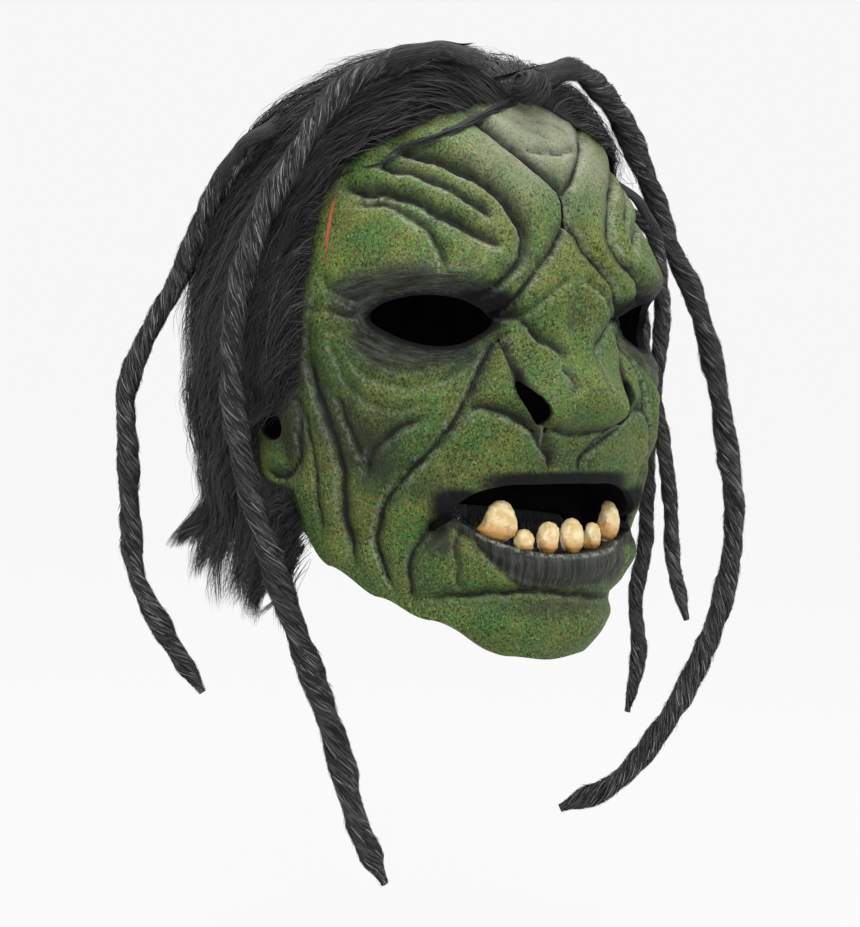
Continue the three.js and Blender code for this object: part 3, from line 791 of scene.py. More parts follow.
def closed_outline(points):
    """A smooth closed line through the points, evenly and closely spaced."""
    ring = list(points) + [points[0]]
    wrapped = list(points[-3:]) + ring + list(points[1:4])
    line = resample(wrapped, 0.4)
    start = int(np.argmin(np.linalg.norm(line[: len(line) // 2] - points[0], axis=1)))
    rest = np.linalg.norm(line - points[0], axis=1)
    rest[: start + 20] = 1e9
    return line[start : int(np.argmin(rest))]


def outline_across(points):
    line = closed_outline([np.array(p, float) for p in points])
    return np.stack([to_across(line[:, 0], line[:, 1]), line[:, 1]], 1)


def ellipse(count, half_length, half_width):
    t = np.linspace(0, 2 * math.pi, count, endpoint=False)
    return half_length * np.cos(t), half_width * np.sin(t)


def nostril_outline(side):
    lean = math.pi / 2 + side * NOSTRIL["lean"]
    a, b = ellipse(80, NOSTRIL["length"] / 2, NOSTRIL["width"] / 2)
    x = side * NOSTRIL["x"] + a * math.cos(lean) - b * math.sin(lean)
    drop = NOSTRIL["drop"] - (a * math.sin(lean) + b * math.cos(lean))
    return np.stack([to_across(x, drop), drop], 1)


def ear_outline(side):
    a, b = ellipse(60, EAR_HOLE["half_length"], EAR_HOLE["half_height"])
    return np.stack([side * EAR_HOLE["across"] + a, EAR_HOLE["drop"] + b], 1)


EYE_OUTLINES = [outline_across([(side * x, d) for x, d in EYE]) for side in SIDES]
MOUTH_OUTLINE = outline_across(MOUTH)
OUTLINES = [*EYE_OUTLINES, MOUTH_OUTLINE]
OUTLINES += [nostril_outline(side) for side in SIDES]
OUTLINES += [ear_outline(side) for side in SIDES]


def inside(outline, points):
    """True for the (across, drop) points that lie inside a closed outline."""
    x, y = points[:, 0], points[:, 1]
    near = (x > outline[:, 0].min()) & (x < outline[:, 0].max())
    near &= (y > outline[:, 1].min()) & (y < outline[:, 1].max())
    hit = np.zeros(len(points), bool)
    where = np.flatnonzero(near)
    if len(where) == 0:
        return hit
    a, b = outline, np.roll(outline, -1, axis=0)
    px, py = x[where, None], y[where, None]
    crosses = (a[:, 1] > py) != (b[:, 1] > py)
    rise = np.where(b[:, 1] == a[:, 1], 1e-9, b[:, 1] - a[:, 1])
    at = a[:, 0] + (py - a[:, 1]) * (b[:, 0] - a[:, 0]) / rise
    hit[where] = (crosses & (px < at)).sum(axis=1) % 2 == 1
    return hit


def nearest(points, line, reach):
    """Distance to the line's nearest point, and that point's number; far points get a large distance."""
    low, high = line.min(axis=0) - reach, line.max(axis=0) + reach
    where = np.flatnonzero(((points > low) & (points < high)).all(axis=1))
    distance = np.full(len(points), 1e3)
    index = np.zeros(len(points), int)
    for part in np.array_split(where, max(1, len(where) * len(line) // 4_000_000 + 1)):
        if len(part):
            gap = np.linalg.norm(points[part, None, :] - line[None, :, :], axis=2)
            index[part] = gap.argmin(axis=1)
            distance[part] = gap[np.arange(len(part)), index[part]]
    return distance, index


def fold_lines():
    lines = []
    for depth, width, dark, light, line in PAIRED_FOLDS:
        for side in SIDES:
            lines.append((depth, width, dark, light, [(side * a, d) for a, d in line]))
    return lines + SINGLE_FOLDS


def lump_sum(places, lumps):
    return lump_height(places[:, 0] / ARC, places[:, 1], lumps)


def irregular(places):
    """The places moved in slow waves, so that lines drawn there are not quite smooth."""
    across, drop = places[:, 0], places[:, 1]
    sway = np.stack([np.sin(0.41 * drop + 0.17 * across), np.sin(0.37 * across - 0.13 * drop + 1)], 1)
    ripple = np.stack([np.sin(1.1 * drop + 0.5 * across), np.sin(0.9 * across + 0.7 * drop)], 1)
    return places + 0.3 * sway + 0.15 * ripple


def sculpt(places):
    """Height, dark line, light edge and dark wash at (across, drop) places, from the folds and lumps: the
    line and the wash are charcoal paint and painted shade, the light edge brushed paint and painted
    highlight.
    """
    height = lump_sum(places, SCULPT_LUMPS)
    dark, light, wash_and_shade = np.zeros((3, len(places)))
    moved = irregular(places)
    outwards = np.stack([0.6 * np.sign(places[:, 0]), np.full(len(places), 0.8)], 1)
    for depth, width, darkness, lightness, points in fold_lines():
        line = resample(points, 0.7)
        distance, index = nearest(moved, line, 6 * width)
        t = index / (len(line) - 1)
        fade = smooth_step(t, -0.06, 0.14) * smooth_step(1.04 - t, 0, 0.16)
        d = distance / width
        below = ((moved - line[index]) * outwards).sum(1) / np.maximum(distance, 0.5)
        height -= depth * fade * (0.85 * np.exp(-1.5 * d * d) + 0.6 * bell(d, 3.0))
        height += 0.32 * depth * fade * bell(d, 1.7, 3.8)
        pressed = 0.84 + 0.16 * np.sin(0.13 * index + depth * 9) * np.cos(0.31 * index + width * 7)
        # Dark line in the crease: charcoal paint and painted shade.
        dark = np.maximum(dark, darkness * pressed * fade * np.exp(-d / 0.75))
        # Painted shade: the wash lies mostly on the fold's upper and inner side, as if lit from above.
        shaded = 0.4 + 0.6 * smooth_step(-below, -0.5, 0.5)
        wash_and_shade = np.maximum(wash_and_shade, darkness * fade * shaded * np.exp(-np.maximum(d - 0.3, 0) / 2.8))
        # Painted highlight: the light edge lies on the fold's lower and outer side, facing the light from
        # above.
        lit = smooth_step(below, -0.3, 0.4)
        light = np.maximum(light, 0.85 * lightness * fade * lit * bell(d, 0.4, 1.2))
    return height, dark, light, wash_and_shade


def skin_columns(face_cell, temple_cell, rear_cell):
    """Across distances round the head: close together over the face, far apart behind."""
    face = np.arange(0, FACE_END, face_cell)
    temple = np.arange(FACE_END, TEMPLE_END, temple_cell)
    half_round = math.pi * ARC
    rear = np.linspace(TEMPLE_END, half_round, int((half_round - TEMPLE_END) / rear_cell) + 1)
    half = np.r_[face, temple, rear]
    return np.r_[-half[:0:-1], half[:-1]]


def skin_rows(columns, count):
    """Drops of the grid's rows: over the dome by angle, then evenly down to the hem."""
    part = np.arange(1, count + 1) / count
    dome = DOME * (1 - np.cos(np.minimum(part / DOME_SHARE, 1) * math.pi / 2))
    below = np.clip((part - DOME_SHARE) / (1 - DOME_SHARE), 0, 1)
    lower = DOME + below[:, None] * (hem_drop(columns / ARC)[None, :] - DOME)
    return np.where(part[:, None] <= DOME_SHARE, dome[:, None], lower)


def open_skin(columns, row_count):
    """Places (across, drop) and quads of the skin with its openings cut; the last place is the crown."""
    drops = skin_rows(columns, row_count)
    across = np.broadcast_to(columns, drops.shape)
    places = np.stack([across.ravel(), drops.ravel()], 1)
    count = len(columns)
    quads = grid_faces(row_count, count, wrap=True)
    wraps = np.abs(places[quads[:, 0], 0] - places[quads[:, 2], 0]) > ARC
    middle = places[quads].mean(axis=1)
    middle[wraps] = 1e4
    keep = np.ones(len(quads), bool)
    for outline in OUTLINES:
        keep &= ~inside(outline, middle)
    removed = np.unique(quads[~keep])
    quads = quads[keep]
    edge_points = np.intersect1d(removed, np.unique(quads))
    for outline in OUTLINES:
        distance, index = nearest(places[edge_points], outline, SNAP + 0.5)
        snap = distance < SNAP
        places[edge_points[snap]] = outline[index[snap]]
    return np.r_[places, [CROWN]], quads


def crown_fan(columns, places, flip=False):
    """Triangles from the grid's first row to the last place, which is the top of the head."""
    first = np.arange(len(columns))
    around_it = (np.roll(first, -1), first) if flip else (first, np.roll(first, -1))
    return np.stack([np.full(len(columns), len(places) - 1), *around_it], 1).tolist()


def open_edges(quads):
    """Directed edges that only one face uses."""
    edges = np.concatenate([quads[:, [i, (i + 1) % 4]] for i in range(4)]).astype(np.int64)
    points = edges.max() + 1
    there, back = edges[:, 0] * points + edges[:, 1], edges[:, 1] * points + edges[:, 0]
    return edges[~np.isin(there, back)]


def height_over_head(places, height):
    return skin_point(places[:, 0] / ARC, places[:, 1], height)


def rim_distance(places):
    """How far each place is from the nearest opening."""
    gap = np.full(len(places), 1e3)
    for outline in OUTLINES:
        gap = np.minimum(gap, nearest(places, outline, NEAR)[0])
    return gap


PAINTS = ("dark", "light", "wash_and_shade", "socket", "black", "lip", "pale", "raw", "inner")
RIM_DEPTHS = [0, 0.8, 1.9, 3.3]  # how far in each ring of a rim lies
LIP_RIM = 2.6  # how many times deeper the rim is behind the lower lip, where it meets the gum
INNER_CELLS = {"face": 4.0, "rear": 12.0}
INNER_ROWS = 72
INNER_GAP = 2.6  # how much farther in the inside lies, away from its edges, so that no fold cuts through it
INNER_EASE = 7  # distance from an edge over which it gets there
OUTER_ROWS = 244
EYE_LEVEL = 111  # drop of the middle of the eye
LID = {"upper": 1.3, "lower": 0.5, "width": 2.2}  # raised edge round the eye
MOUTH_EDGE = {"height": 0.9, "width": 2.6}
GUM = {"radius": 5, "inset": 7, "below": 6, "reach": 0.5, "seat": 1.6, "rise": 14}
GUM_FLESH = 0.9  # how much fuller the gum looks than in the CAD
GUM_END = 0.502  # turn at which the gum has thinned out to nothing
GUM_ROWS = 90
GUM_SIDES = 16
# Edge of the lower lip, the same as in the CAD.
LIP = {"middle": 212, "rise": 13, "left_rise": 6, "corner": 56}

# Painted spots: strength, across, drop, half width, half height and how flat the middle is (2 if not given).
BLACK_SPOTS = [
    (1, 43, 108, 12, 10),  # inner corner of the eye
    (1, 46, 104, 20, 9, 3),  # over it
    (1, 53, 191, 15, 9.5, 3),  # corner of the mouth, painted shade
    (0.9, 61, 201, 8, 6),  # below it, painted shade
    (1, 0, 182, 52, 7.5, 4),  # edge of the upper lip, painted shade under it
    (0.9, 30, 137, 4.5, 11),  # side of the nostril, painted shade
    (0.8, 148, 197, 12, 12, 4),  # under the ear lobe
]
SHADE_SPOTS = [
    (0.6, 0, 172, 44, 12),  # under the nose
    (0.55, 88, 160, 34, 34),  # cheek
    (0.5, 34, 86, 16, 12),  # inner end of the brow
    (0.5, 120, 150, 26, 40),  # cheek before the ear
    (0.5, 60, 209, 13, 8),  # corner of the mouth
    (0.75, 0, 235, 48, 6.5),  # hollow under the lower lip
    (0.6, 3, 106, 6, 14),  # side of the bridge
    (0.35, 66, 226, 20, 12),  # beside the chin
    (0.45, 92, 174, 12, 16),  # fold of the cheek
    (0.5, 64, 186, 14, 10),  # beside the upper lip
    (0.3, 0, 247, 90, 9),  # chin and jaw
    (0.9, 137, 163, 6, 19, 3),  # edge of the ear
    (0.6, 150, 161, 17, 12, 3),  # ear hole
    (0.5, 62, 207, 10, 6),  # behind the corner of the mouth
]


def gum_point(turn):
    rise = np.where(turn < 0, LIP["rise"], LIP["left_rise"])
    drop = LIP["middle"] - rise * (turn * ARC / LIP["corner"]) ** 2 + GUM["below"]
    return skin_point(turn, drop, -GUM["inset"] + 0 * turn)


def paint_masks(places, sculpted):
    """Where each colour of paint, painted shade and painted highlight goes, as numbers from 0 to 1 per
    point.
    """
    eye_gap, mouth_gap, dark, light, wash_and_shade = sculpted
    side = np.abs(places[:, 0])
    drop = places[:, 1]

    def spot(across, level, half_width, half_height, power=2.0):
        u = np.abs((side - across) / half_width) ** power
        v = np.abs((drop - level) / half_height) ** power
        return np.exp(-u - v)

    socket = np.maximum(spot(74, 110, 36, 25, 2.8), spot(48, 106, 16, 15))
    socket = np.maximum(socket, 0.85 * spot(100, 104, 20, 16))
    black = bell(eye_gap, 2.4)
    for strength, *spot_sizes in BLACK_SPOTS:
        black = np.maximum(black, strength * spot(*spot_sizes))
    lip_low = spot(0, 216, 53, 12, 4) * (drop > 200)
    slant = smooth_step(51 - 1.25 * np.maximum(drop - 204, 0) - side, -8, 5)
    lip_low = np.where(places[:, 0] < 0, lip_low * slant, lip_low)
    # Painted shade on the underside of the upper lip.
    upper_lip_shade = 0.6 * spot(0, 185, 52, 7, 3) * (drop < 200)
    lip_edge = 0.85 * bell(mouth_gap, 5.5) * (drop > 197)
    lip = np.maximum(np.maximum(lip_low, upper_lip_shade), lip_edge)
    pale = np.clip(spot(0, 18, 40, 24) + 0.5 * spot(20, 38, 30, 20), 0, 1)
    near_fur = np.exp(-np.maximum(-inside_hairline(places[:, 0] / ARC, drop), 0) / 9)
    shade = 0.8 * near_fur
    for strength, *spot_sizes in SHADE_SPOTS:
        shade = shade + strength * spot(*spot_sizes)
    lid = (drop < EYE_LEVEL) & (side > 55)
    # Light edges, partly painted highlight: along the upper lid's rim and along the lower lip at the mouth.
    light = np.maximum(light, 0.9 * bell(eye_gap, 0.8, 0.5) * lid)
    light = np.maximum(light, 0.9 * bell(mouth_gap, 0.8, 0.9) * (drop > 200) * (side < 44))
    light = light * (1 - np.clip(black, 0, 1))
    return {
        "dark": dark,
        "light": light,
        # Painted shade: the folds' wash together with the shaded spots.
        "wash_and_shade": np.clip(np.maximum(wash_and_shade, 0.9 * shade), 0, 1),
        "socket": socket,
        "black": black,
        "lip": lip,
        "pale": pale,
        "raw": spot(124.5 - 0.1 * (drop - 56), 72, 1.3, 17, 3) + 0.3 * spot(114, 68, 6, 8),
        "inner": np.zeros(len(places)),
    }


def rim_sheet(places, height, masks, edges):
    """Walls that fold inwards from the cut edges of the outside."""
    rim, at = np.unique(edges, return_inverse=True)
    at = at.reshape(edges.shape)
    depths = np.array(RIM_DEPTHS)
    behind_lip = smooth_step(53 - np.abs(places[rim, 0]), 0, 6) * smooth_step(places[rim, 1], 195, 201)
    reach = 1 + (LIP_RIM - 1) * behind_lip
    points = [height_over_head(places[rim], height[rim] - depth * reach) for depth in depths]
    values = {key: np.tile(mask[rim], len(depths)) for key, mask in masks.items()}
    # The rims darken towards the inside as they go in: painted shade in the openings.
    values["inner"] = np.repeat(np.clip(depths / 2.4, 0, 1), len(rim))
    faces = []
    for layer in range(len(depths) - 1):
        near, far = at + layer * len(rim), at + (layer + 1) * len(rim)
        faces.append(np.stack([near[:, 1], near[:, 0], far[:, 0], far[:, 1]], 1))
    return np.concatenate(points), np.concatenate(faces).tolist(), values


def outer_sheets():
    """The sculpted and painted outside, and the rims of its openings."""
    columns = skin_columns(CELLS["face"], CELLS["temple"], CELLS["rear"])
    places, quads = open_skin(columns, OUTER_ROWS)
    height, dark, light, wash_and_shade = sculpt(places)
    eye_gap = np.minimum(*[nearest(places, outline, NEAR)[0] for outline in EYE_OUTLINES])
    mouth_gap = nearest(places, MOUTH_OUTLINE, NEAR)[0]
    lid = np.where(places[:, 1] < EYE_LEVEL, LID["upper"], LID["lower"])
    height += lid * bell(eye_gap, LID["width"])
    height += MOUTH_EDGE["height"] * bell(mouth_gap, MOUTH_EDGE["width"])
    masks = paint_masks(places, (eye_gap, mouth_gap, dark, light, wash_and_shade))
    points = height_over_head(places, height)
    edges = open_edges(quads)
    edges = edges[~(edges < len(columns)).all(axis=1)]
    outside = (points, quads.tolist() + crown_fan(columns, places), masks)
    return [outside, rim_sheet(places, height, masks, edges)]


def only_paint(points, **strengths):
    """The same paint on all the points: no mask but those given."""
    return {key: np.full(len(points), float(strengths.get(key, 0))) for key in PAINTS}


def inner_sheet():
    """The plain inside, which follows the outside's larger shapes at the thickness of the latex."""
    columns = skin_columns(INNER_CELLS["face"], INNER_CELLS["face"], INNER_CELLS["rear"])
    places, quads = open_skin(columns, INNER_ROWS)
    from_edge = np.minimum(rim_distance(places), hem_drop(places[:, 0] / ARC) - places[:, 1])
    lift = -SKIN - INNER_GAP * (1 - bell(from_edge, INNER_EASE))
    lift += lump_sum(places, SCULPT_LUMPS)
    points = height_over_head(places, lift)
    faces = quads[:, ::-1].tolist() + crown_fan(columns, places, flip=True)
    return points, faces, only_paint(points, inner=1)


def gum_sheet():
    """The dark ridge behind the lower lip, in which the teeth stand."""
    rng = np.random.default_rng(SEED + 31)
    turns = np.linspace(-GUM["reach"], GUM["reach"], GUM_ROWS)
    path = gum_point(turns)
    _, side, other = frames_along(path)
    uneven = wobble(rng, GUM_ROWS, 5, 0.5)[:, None]
    radius = GUM["radius"] + GUM_FLESH + uneven + rng.normal(0, 0.12, (GUM_ROWS, GUM_SIDES))
    rounded_ends = np.sqrt(np.clip(1 - (np.abs(turns) / GUM_END) ** 14, 0, 1))
    points = tube_points(path, side, other, round_ring(GUM_SIDES), radius * rounded_ends[:, None])
    return points, grid_faces(GUM_ROWS, GUM_SIDES, wrap=True).tolist(), only_paint(points, lip=1, black=0.8)


def joined(sheets):
    """One set of points, faces and attributes from several sheets."""
    faces = []
    start = 0
    for points, sheet_faces, _ in sheets:
        faces += [[v + start for v in face] for face in sheet_faces]
        start += len(points)
    points = np.concatenate([sheet[0] for sheet in sheets])
    values = {key: np.concatenate([sheet[2][key] for sheet in sheets]) for key in sheets[0][2]}
    return points, faces, values


def eye_directions(points):
    """Coordinates that change slowly round the nearer eye and fast away from it, for the fine wrinkles."""
    centre = skin_point(np.array([0.75]), np.array([EYE_LEVEL]))[0]
    away = np.abs(points[:, 0]) - centre[0]
    up = 1.4 * (points[:, 2] - centre[2])
    angle = np.arctan2(up, away)
    reach = np.hypot(away, up)
    return np.stack([np.cos(angle) * 1.6, np.sin(angle) * 1.6, reach * 0.26], 1)


def add_latex():
    """The whole casting; its inside takes the second material."""
    outer, inner = joined([*outer_sheets(), gum_sheet()]), inner_sheet()
    points, faces, values = joined([outer, inner])
    turn = np.arctan2(points[:, 0], -points[:, 1])
    values["round_eye"] = eye_directions(points)
    values["across_down"] = np.stack([turn * ARC, SKIN - points[:, 2], 0 * turn], 1)
    skin = new_piece("latex_skin_painted", points, faces, values)
    material = np.r_[np.zeros(len(outer[1]), int), np.ones(len(inner[1]), int)]
    fixed(skin, "latex_skin", LATEX_PAINT)
    skin.data.materials.append(INSIDE_PAINT)
    skin.data.polygons.foreach_set("material_index", material)


add_latex()

# ---- teeth: blunt, uneven and stained, standing in the gum ridge ----

# Across the mouth, height, half width, half depth, lean to the side and sink, the same as in the CAD.
TEETH = {
    "canine_right": (-32, 16, 7.2, 4.8, 0.18, -1),
    "tooth_right_outer": (-18.5, 8, 4.4, 3.6, 0, 0),
    "tooth_right_middle": (-4.5, 12, 5.2, 4.2, 0, -1),
    "tooth_left_middle": (11.5, 14, 5.5, 4.2, 0.05, 0),
    "tooth_left_outer": (27.5, 10, 4.6, 3.6, 0.1, 0.6),
    "canine_left": (43, 17, 6, 4.6, 0.42, 1.4),
}
TOOTH_PROFILE = [(0, 0.3), (0.12, 0.62), (0.26, 0.92), (0.42, 1.0), (0.6, 0.98), (0.78, 0.84),
                 (0.91, 0.6), (0.97, 0.38), (1, 0.02)]
# How far a tooth's foot reaches to one side.
TOOTH_FEET = {"canine_right": -5.5, "tooth_right_outer": 1.0, "tooth_left_outer": -1.2, "canine_left": -1.5}
TOOTH_ROOT = 3.0  # how far each tooth goes down into the gum
TOOTH_ROWS = 26
TOOTH_SIDES = 30


def tooth_dents(rng, angle, part):
    """Smooth dents over a tooth, from a few waves of random phase."""
    dent = np.zeros(np.broadcast(angle, part).shape)
    for turns, rise, size in ((1, 3, 0.07), (2, 5, 0.07), (3, 4, 0.05), (4, 9, 0.03), (6, 13, 0.02)):
        dent = dent + size * np.sin(turns * angle + rise * part + rng.uniform(0, 6.28))
    return dent


def add_tooth(name, across, height, half_width, half_depth, lean, sink, seed):
    rng = np.random.default_rng(seed)
    part = np.linspace(0, 1, TOOTH_ROWS)[:, None] ** 0.85
    angle = round_ring(TOOTH_SIDES)[None, :]
    radius = along(TOOTH_PROFILE, part) * (1 + tooth_dents(rng, angle, part))
    squared = (np.abs(np.cos(angle)) ** 2.5 + np.abs(np.sin(angle)) ** 2.5) ** (-1 / 2.5)
    x = radius * squared * np.cos(angle) * half_width
    y = radius * squared * np.sin(angle) * half_depth
    x = x + 0.9 * np.sin(part * 2.2) * rng.uniform(-1, 1)
    foot = TOOTH_FEET.get(name, 0)
    leaning_foot = np.maximum(x / half_width * math.copysign(1, foot), 0) * smooth_step(0.45 - part, 0, 0.35)
    x = x + foot * leaning_foot
    y = y + 0.10 * height * part**2
    z = part * (height + TOOTH_ROOT) - TOOTH_ROOT + 0 * angle
    local = np.stack([x, y, z], -1).reshape(-1, 3)
    turn = across / ARC
    tilt = np.array(Matrix.Rotation(turn, 3, "Z") @ Matrix.Rotation(lean, 3, "Y"))
    seat = gum_point(np.array([turn]))[0]
    seat[2] += GUM["radius"] + GUM["seat"] + GUM["rise"] * turn * turn - sink
    points = local @ tilt.T + seat
    faces = capped_tube(TOOTH_ROWS, TOOTH_SIDES, flip=True)
    tooth = new_piece(f"{name}_enamel", points, faces, {"height": np.repeat(part[:, 0], TOOTH_SIDES)})
    fixed(tooth, name, TOOTH_PAINT)


for number, (tooth_name, tooth_sizes) in enumerate(TEETH.items()):
    add_tooth(tooth_name, *tooth_sizes, SEED + 40 + number)

# ---- fur: a dark underlayer for each panel, with combed locks and loose hairs on it ----

KNOT = {
    "place": (-5, -67, -4),
    "half": (9, 8, 7.5),
    "core": 0.86,  # size of the ball under the strands, as a share
    "rows": 20,
    "columns": 28,
    "axis": (0.82, 0.1, -0.5),  # the strands are wound round it
    "count": 900,
}
FUR_RISE = 26
HANG_FROM = 208  # drop below which the hair hangs free of the neck's taper
UNDERLAYER_HEM = 211
LAYER_CELLS = {"round": 72, "crown_rows": 26, "rows": 36, "side": 24, "back": 38}  # grid of the underlayer
PANEL_DROPS = np.linspace(CROWN_SEAM + SEAM, UNDERLAYER_HEM, LAYER_CELLS["rows"])[:, None]
COMB_DOWN = (0, 0.46, -1.0)
STRAND_POINTS = 7
STRAND = np.linspace(0, 1, STRAND_POINTS)[None, :]  # how far along a strand each of its points is
LOCK_STEP = 8.0  # distance between the points of a lock's middle line
LOCK_STEPS = 12
HEM_TIPS = [(0, 243), (205, 244), (235, 234), (255, 223), (275, 221), (314, 238)]  # drop of the tufts' tips
HEM_FLARE = [(190, 0.0), (222, 0.2), (245, 0.85), (282, 0.8), (314, 0.2)]  # how far the tufts stand out
TUFTS = 34
WRAP = {"before": 26, "after": 10, "sink": 10, "spread": 9, "count": 420}
# Thicker places of the fur, over dreadlock roots and beside the knot: place, share more, half width.
SWELLS = [((-41, -40, 10), 0.55, 20), ((-95, 27, -37), 0.45, 18), ((-26, -52, 8), 0.6, 22),
          ((-88, 78, -150), 0.5, 60), ((10, -62, 4), 0.2, 12)]
# Thin locks that lie on the skin: spread, number of strands, longest strand, and the line as (across, drop).
WISPS = [
    (2.3, 190, 46, [(6, 9), (-12, 13), (-36, 19), (-58, 27), (-80, 34), (-93, 38), (-103, 45)]),
    (0.8, 26, 44, [(-86, 36), (-99, 43), (-113, 46), (-127, 50), (-146, 58)]),
]

tuft_dice = np.random.default_rng(SEED + 59)
TUFT_TURNS = np.linspace(-math.pi, math.pi, TUFTS, endpoint=False)
TUFT_TURNS += tuft_dice.uniform(-0.045, 0.045, TUFTS)
TUFT_TIPS = along(HEM_TIPS, np.abs(TUFT_TURNS * ARC)) + tuft_dice.uniform(-9, 5, TUFTS)


def fur_thickness(turn, drop):
    t = np.clip(inside_hairline(turn, drop) / FUR_RISE, 0, 1)
    return FUR_EDGE + (PILE - FUR_EDGE) * t * (2 - t)


def swelling(point):
    """How many times thicker than usual the fur is at a point."""
    more = np.ones(point.shape[:-1])
    for place, share, half in SWELLS:
        distance = np.linalg.norm(point - np.array(place, float), axis=-1)
        more = more + share * bell(distance, half)
    return more


def hanging_point(turn, drop, lift):
    """As skin_point, but below the ears the hair hangs down and out instead of following the neck."""
    held = np.minimum(drop, HANG_FROM)
    beside = np.pi - np.abs(np.abs(turn) - np.pi)
    flare = along(HEM_FLARE, beside * ARC) * np.maximum(drop - HANG_FROM + 12, 0)
    point = skin_point(turn, held, lift + flare)
    point[..., 2] -= drop - held
    return point


def locate(point):
    """The turn and drop of the place on the skin under a point."""
    turn = np.arctan2(point[..., 0], -point[..., 1])
    reach = np.hypot(point[..., 0], point[..., 1])
    rise = point[..., 2] - (SKIN - DOME)
    low = np.zeros(turn.shape)
    high = np.full(turn.shape, float(DOME))
    for _ in range(14):
        middle = (low + high) / 2
        above = base_radius(turn, middle) * rise < reach * (DOME - middle)
        low = np.where(above, middle, low)
        high = np.where(above, high, middle)
    return turn, np.where(rise > 0, (low + high) / 2, SKIN - point[..., 2])


def combed(point, turn, drop):
    """The way the fur is combed: from the knot along the hairline, then down and back at the sides."""
    from_knot = point - np.array(KNOT["place"], float)
    distance = np.linalg.norm(from_knot, axis=-1)
    fall = smooth_step(np.abs(turn * ARC), 88, 142) * smooth_step(distance, 35, 110)
    spread = from_knot / distance[..., None]
    direction = spread * (1 - fall)[..., None] + np.array(COMB_DOWN) * fall[..., None]
    normal = outward(point)
    direction = unit(direction - normal * (direction * normal).sum(-1, keepdims=True))
    side = np.cross(normal, direction)
    gain = inside_hairline(*locate(point + side * 3)) - inside_hairline(*locate(point - side * 3))
    near_edge = np.clip(1 - inside_hairline(turn, drop) / 5, 0, 1) * smooth_step(196 - drop, -12, 8)
    direction = direction + side * (np.clip(gain / 4, -1, 1) * near_edge)[..., None]
    return unit(direction)


def nearest_tuft(turn):
    gap = (turn[:, None] - TUFT_TURNS[None, :] + math.pi) % (2 * math.pi) - math.pi
    tuft = np.abs(gap).argmin(axis=1)
    return tuft, gap[np.arange(len(turn)), tuft]


def lock_lines(turn, drop, rng):
    """Middle lines of the locks, with normals, sideways directions, fur thickness and tip positions."""
    point = hanging_point(turn, drop, np.zeros(turn.shape))
    sway = rng.normal(0, 0.11, len(turn))
    phase = rng.uniform(0, 2 * math.pi, len(turn))
    wave = rng.uniform(0.04, 0.2, len(turn))
    points, normals, sides, piles, drawn = [], [], [], [], []
    last = np.full(len(turn), LOCK_STEPS - 1.0)
    for step in range(LOCK_STEPS):
        turn, drop = locate(point)
        tuft, gap = nearest_tuft(turn)
        passed = (drop > TUFT_TIPS[tuft]) & (last > step)
        last[passed] = step
        gathered = smooth_step(drop, 200, TUFT_TIPS[tuft])
        turn = turn - 0.5 * gap * gathered
        drawn.append(gathered)
        points.append(hanging_point(turn, drop, np.zeros(turn.shape)))
        normal = outward(points[-1])
        direction = combed(points[-1], turn, np.minimum(drop, FUR_HEM))
        side = np.cross(normal, direction)
        lean = sway + wave * np.cos(phase + step * 1.05)
        direction = unit(direction + side * lean[:, None])
        normals.append(normal)
        sides.append(np.cross(normal, direction))
        piles.append(fur_thickness(turn, np.minimum(drop, FUR_HEM)) * swelling(points[-1]))
        point = points[-1] + direction * LOCK_STEP
    lines = [np.stack(values, 1) for values in (points, normals, sides, piles, drawn)]
    return lines, last


def between(values, index):
    """Values (n, k, ...) read at fractional positions (n, m) along k."""
    low = np.clip(index.astype(int), 0, values.shape[1] - 2)
    t = index - low
    rows = np.arange(len(values))[:, None]
    a, b = values[rows, low], values[rows, low + 1]
    if a.ndim == 3:
        t = t[..., None]
    return a * (1 - t) + b * t


def on_lines(lines, lock, index):
    return [between(values[lock], index) for values in lines]


def combed_strands(lines, last, per_lock, length, rng):
    """Strands of many locks: each lock is spread at its root and gathers to a tip."""
    locks = len(last)
    lock = np.repeat(np.arange(locks), per_lock)
    count = len(lock)
    t = STRAND
    start = np.minimum(rng.uniform(0, 1.1, count), np.maximum(last[lock] - 2.5, 0))
    reach = rng.uniform(*length, locks)[lock] * rng.uniform(0.72, 1.06, count) / LOCK_STEP
    reach = np.minimum(reach, (last[lock] - start) * rng.uniform(0.82, 1.0, count))
    index = start[:, None] + reach[:, None] * t
    base, normal, side, pile, drawn = on_lines(lines, lock, index)
    spread = rng.normal(0, 1, count) * rng.uniform(2.2, 4.4, locks)[lock]
    gather = rng.uniform(0.5, 0.95, locks)[lock]
    curl = rng.uniform(0.1, 0.8, (count, 1))
    curl = curl * np.sin(rng.uniform(3, 7, (count, 1)) * t + lock[:, None])
    across = (spread[:, None] * (1 - gather[:, None] * t**1.2) + curl) * (1 - 0.7 * drawn)
    fullness = rng.uniform(0.66, 1.1, locks)[lock] * (1 - 0.4 * rng.random(count) ** 1.5)
    height = FUR_BACKING * 0.6 + pile * fullness[:, None] * (1 - np.exp(-t / 0.13)) * (1 - 0.30 * t**2.5)
    height -= 0.10 * (across / 2.5) ** 2
    paths = base + side * across[..., None] + normal * np.maximum(height, 0.6)[..., None]
    widths = rng.uniform(0.26, 0.58, (count, 1)) * (1 - 0.88 * t**2) * np.minimum(1, 0.4 + t * 5)
    shade = np.clip(rng.normal(0.36, 0.15, count) + rng.normal(0, 0.15, locks)[lock], 0, 1)
    return paths, widths, rolled(normal, side, rng), shade


